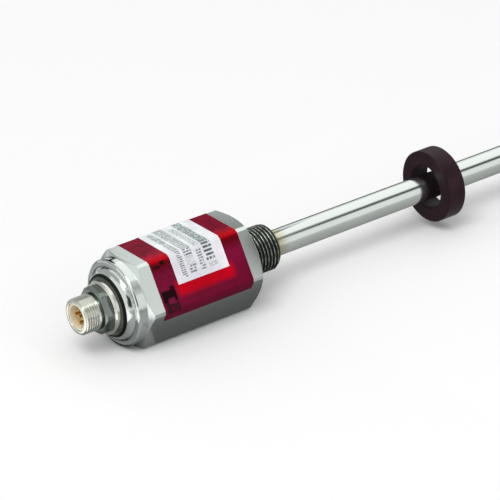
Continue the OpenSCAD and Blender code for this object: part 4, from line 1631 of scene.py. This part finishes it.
@dataclass
class Studio:
    """Floor, soft light and the camera of the picture.

    The camera's angles, distance and lens were fitted to the object in the
    photograph, and focal_px goes with image_px.
    """

    floor_z: float = -17.0
    floor_gap: float = 0.02
    floor_reach_m: float = 6.0
    table_gap: float = 0.2
    azimuth_deg: float = -35.740
    elevation_deg: float = 26.366
    roll_deg: float = -2.725
    distance_mm: float = 1221.3
    target_mm: tuple[float, float, float] = (6.771, -0.182, 1.133)
    focal_px: float = 3276.9
    image_px: float = 500.0
    sensor_mm: float = 36.0
    clip_m: tuple[float, float] = (0.05, 20.0)
    world_level: float = 0.74
    lamp_place_m: tuple[float, float, float] = (-1.5, -1.1, 2.8)
    lamp_size_m: float = 1.7
    lamp_watts: float = 41.0

    def camera(self) -> None:
        """Places the camera at the picture's angle, distance and lens."""
        swing, tilt, roll = (
            math.radians(v) for v in (self.azimuth_deg, self.elevation_deg, self.roll_deg))
        back = Vector((math.sin(swing) * math.cos(tilt), -math.cos(swing) * math.cos(tilt),
                       math.sin(tilt)))
        side = (-back).cross(Vector((0.0, 0.0, 1.0))).normalized()
        rise = side.cross(-back)
        right = math.cos(roll) * side + math.sin(roll) * rise
        up = -math.sin(roll) * side + math.cos(roll) * rise
        data = bpy.data.cameras.new("picture_camera")
        data.sensor_width = self.sensor_mm
        data.lens = self.focal_px / self.image_px * data.sensor_width
        data.clip_start, data.clip_end = self.clip_m
        camera = bpy.data.objects.new("picture_camera", data)
        bpy.context.scene.collection.objects.link(camera)
        camera.location = Vector(self.target_mm) * MM + back * self.distance_mm * MM
        turn = Matrix.Identity(3)
        turn.col[0], turn.col[1], turn.col[2] = right, up, back
        camera.rotation_mode = "QUATERNION"
        camera.rotation_quaternion = turn.to_quaternion()
        bpy.context.scene.camera = camera

    def floor(self) -> None:
        """Lays a wide pale floor that is white to the eye and keeps the shadow."""
        bm = bmesh.new()
        bmesh.ops.create_grid(bm, x_segments=2, y_segments=2, size=self.floor_reach_m)
        mesh = plain_mesh("pale_floor", bm)
        mesh.transform(Matrix.Translation((0.0, 0.0, (self.floor_z - self.floor_gap) * MM)))
        piece = mesh_object("pale_floor", mesh)
        dress(piece, Paper("matt_white_paper").build())

    def world(self) -> None:
        """Sets an even white surround, a little lower where it lights the object."""
        world = bpy.data.worlds.new("white_surround")
        bpy.context.scene.world = world
        world.use_nodes = True
        tree = world.node_tree
        seen = add_node(tree, "ShaderNodeLightPath").outputs
        direct = add_node(tree, "ShaderNodeMath", {
            0: seen["Is Camera Ray"], 1: seen["Is Glossy Ray"]}, operation="MAXIMUM")
        either = add_node(tree, "ShaderNodeMath", {
            0: direct, 1: seen["Is Transmission Ray"]}, operation="MAXIMUM")
        level = add_node(tree, "ShaderNodeMapRange", {
            "Value": either, "To Min": self.world_level, "To Max": 1.0})
        feed(tree, tree.nodes["Background"], {"Strength": level, "Color": linear(WHITE)})

    def lamp(self) -> None:
        """Hangs a soft square lamp that looks at the housing."""
        data = bpy.data.lights.new("key_lamp", "AREA")
        data.shape = "SQUARE"
        data.size = self.lamp_size_m
        data.energy = self.lamp_watts
        lamp = bpy.data.objects.new("key_lamp", data)
        bpy.context.scene.collection.objects.link(lamp)
        lamp.location = self.lamp_place_m
        lamp.rotation_mode = "QUATERNION"
        lamp.rotation_quaternion = (-Vector(self.lamp_place_m)).to_track_quat("-Z", "Y")

    def table(self, name: str, x0: float, x1: float,
              levels: Sequence[tuple[float, float]]) -> Card:
        """A card on the floor, graded across the sensor; where it is near black right under the
        sensor, it is a painted shadow that the metal mirrors.

        Args:
            name: Name of the card.
            x0: Its end towards the connector, in millimetres.
            x1: Its other end, in millimetres.
            levels: Places across the sensor, in millimetres from front to back, and
                the levels there.

        Returns:
            The card.
        """
        low, high = levels[0][0], levels[-1][0]
        graded = tuple(((y - low) / (high - low), level) for y, level in levels)
        x, y = (x0 + x1) / 2 * MM, (low + high) / 2 * MM
        return Card(name, (x, y, (self.floor_z + self.table_gap) * MM), (x, y, 1.0),
                    (x1 - x0) * MM, (high - low) * MM, graded, up=(0.0, 1.0, 0.0))

    def round_card(self, name: str, reach: float, degrees: tuple[float, float],
                   ends: tuple[float, float], levels: tuple[tuple[float, float], ...]) -> Card:
        """A card that faces the rod's axis, placed by its angle about it, in metres.

        Args:
            name: Name of the card.
            reach: Its distance from the axis.
            degrees: Angles of its two edges, from straight behind over the top.
            ends: Its two ends along the axis.
            levels: Its levels, from the first edge to the second.

        Returns:
            The card.
        """
        middle = math.radians(sum(degrees) / 2)
        height = 2 * reach * math.tan(math.radians((degrees[1] - degrees[0]) / 2))
        x, across, rise = sum(ends) / 2, math.cos(middle), math.sin(middle)
        return Card(name, (x, reach * across, reach * rise), (x, 0.0, 0.0),
                    ends[1] - ends[0], height, levels, up=(0.0, -rise, across))

    def far_cards(self) -> list[Card]:
        """The cards that stand a long way off.

        Returns:
            The cards, which shape the large reflections in the steel.
        """
        return [
            # a large soft box overhead: the white of every upper edge
            self.round_card("overhead_card", 0.8, (40.0, 112.0), (0.0, 1.4), (
                (0.0, 1.3), (1.0, 1.2))),
            # the dark line along the rod
            self.round_card("dark_line_card", 0.7, (112.0, 142.0), (0.44, 1.2), (
                (0.0, 0.9), (0.34, 0.1), (0.74, 0.1), (1.0, 1.0))),
            # a softer grey of the same kind for the collar and the housing
            self.round_card("grey_front_card", 0.7, (114.0, 150.0), (-0.5, 0.42), (
                (0.0, 0.8), (0.5, 0.5), (1.0, 0.8))),
            # a dark strip at the horizon behind: the dark rims along the far side
            self.round_card("dark_back_card", 0.8, (-6.0, 22.0), (0.503, 1.2), (
                (0.0, 0.06), (0.6, 0.12), (1.0, 0.8))),
            # a dark doorway behind, for the thin black arc on the collar's edge
            Card("doorway_card", (0.075, 0.5, 0.36), (0.075, 0.0, 0.36), 0.35, 0.48, even(0.02)),
            # a grey wall and a grey ceiling beyond the connector
            Card("grey_wall_card", (-0.375, 0.75, 0.35), (-0.375, 0.0, 0.35), 1.25, 0.7, even(0.5)),
            Card("grey_ceiling_card", (-0.575, 0.325, 0.7), (-0.575, 0.325, 0.0), 0.45, 0.85,
                 even(0.5), up=(0.0, 1.0, 0.0)),
            # a dark gap in the light, seen in the cap's rounded edge nearest the viewer
            Card("dark_gap_card", (-0.46, -0.48, 0.15), (0.0, 0.0, 0.0), 0.4, 0.4, even(0.04)),
        ]

    def near_cards(self) -> list[Card]:
        """The cards on the floor and close to the stud.

        Returns:
            The cards, which shape the lower and the smaller reflections.
        """
        behind = (
            (15.0, 0.03), (24.0, 0.3), (40.0, 0.3), (46.0, 0.04), (64.0, 0.04), (72.0, 0.6),
            (90.0, 0.6), (97.0, 0.03), (400.0, 0.03))
        # the tables' near black levels right under the sensor are a painted shadow, seen only in
        # the metal
        return [
            self.table("table_before_the_rim", -140.0, -80.0, (
                (-400.0, 0.6), (-60.0, 0.5), (-45.0, 1.4), (36.0, 1.4), (48.0, 0.45),
                (400.0, 0.3))),
            self.table("table_by_the_connector", -80.0, -57.0, (
                (-400.0, 0.6), (-110.0, 0.4), (-34.0, 0.5), (-16.0, 0.42), (-10.0, 0.3),
                (-6.0, 0.26), (15.0, 0.24), (28.0, 0.4), (85.0, 0.5), (400.0, 0.3))),
            self.table("table_by_the_collar", -57.0, -44.5, (
                (-400.0, 0.6), (-110.0, 0.35), (-34.0, 0.5), (-24.0, 0.4), (-17.0, 0.3),
                (-12.0, 0.2), (-9.0, 0.13), (-6.0, 0.03), *behind)),
            self.table("table_by_the_housing", -44.5, 12.0, (
                (-400.0, 0.6), (-190.0, 0.35), (-110.0, 0.35), (-60.0, 0.45), (-34.0, 0.45),
                (-23.0, 0.28), (-17.0, 0.13), (-9.0, 0.09), (-6.0, 0.03), *behind)),
            # a small dark card in front of the stud, whose thread is dark there
            Card("stud_card", (0.030, -0.044, 0.012), (0.008, -0.0082, 0.0038), 0.018, 0.04,
                 even(0.03)),
            # two small cards close by, for the greyer steel behind the films
            Card("rear_top_card", (0.040, 0.044, 0.052), (-0.003, 0.0, 0.017), 0.05, 0.03, (
                (0.0, 0.54), (0.36, 0.54), (0.46, 0.16), (1.0, 0.13))),
            Card("rear_side_card", (0.036, -0.062, 0.034), (-0.003, -0.015, 0.008), 0.04, 0.035, (
                (0.0, 0.9), (0.5, 0.5), (1.0, 0.42))),
            self.table("table_by_the_rod", 12.0, 600.0, (
                (-400.0, 0.85), (-85.0, 0.62), (-28.0, 0.5), (-13.0, 0.45), (-6.0, 0.4),
                (0.0, 0.33), (30.0, 0.35), (95.0, 0.4), (102.0, 0.06), (400.0, 0.06))),
        ]

    def build(self) -> None:
        """Sets up everything round the sensor."""
        self.camera()
        self.floor()
        self.world()
        self.lamp()
        for card in self.far_cards() + self.near_cards():
            card.hang()
        bpy.context.scene.view_settings.view_transform = "Standard"
        log.info("studio with camera, floor, surround, lamp and cards is up")


def main() -> None:
    """Builds the looks in order."""
    logging.basicConfig(level=logging.INFO, format="%(name)s: %(message)s")
    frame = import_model()
    nodes = frame["nodes"]
    shelf = FinishShelf()
    Studio().build()
    for part in (MountingStud, Receptacle, Housing, RodAndMagnet, SensingElement, Electronics):
        part(nodes, shelf).build()


if __name__ == "__main__":
    main()
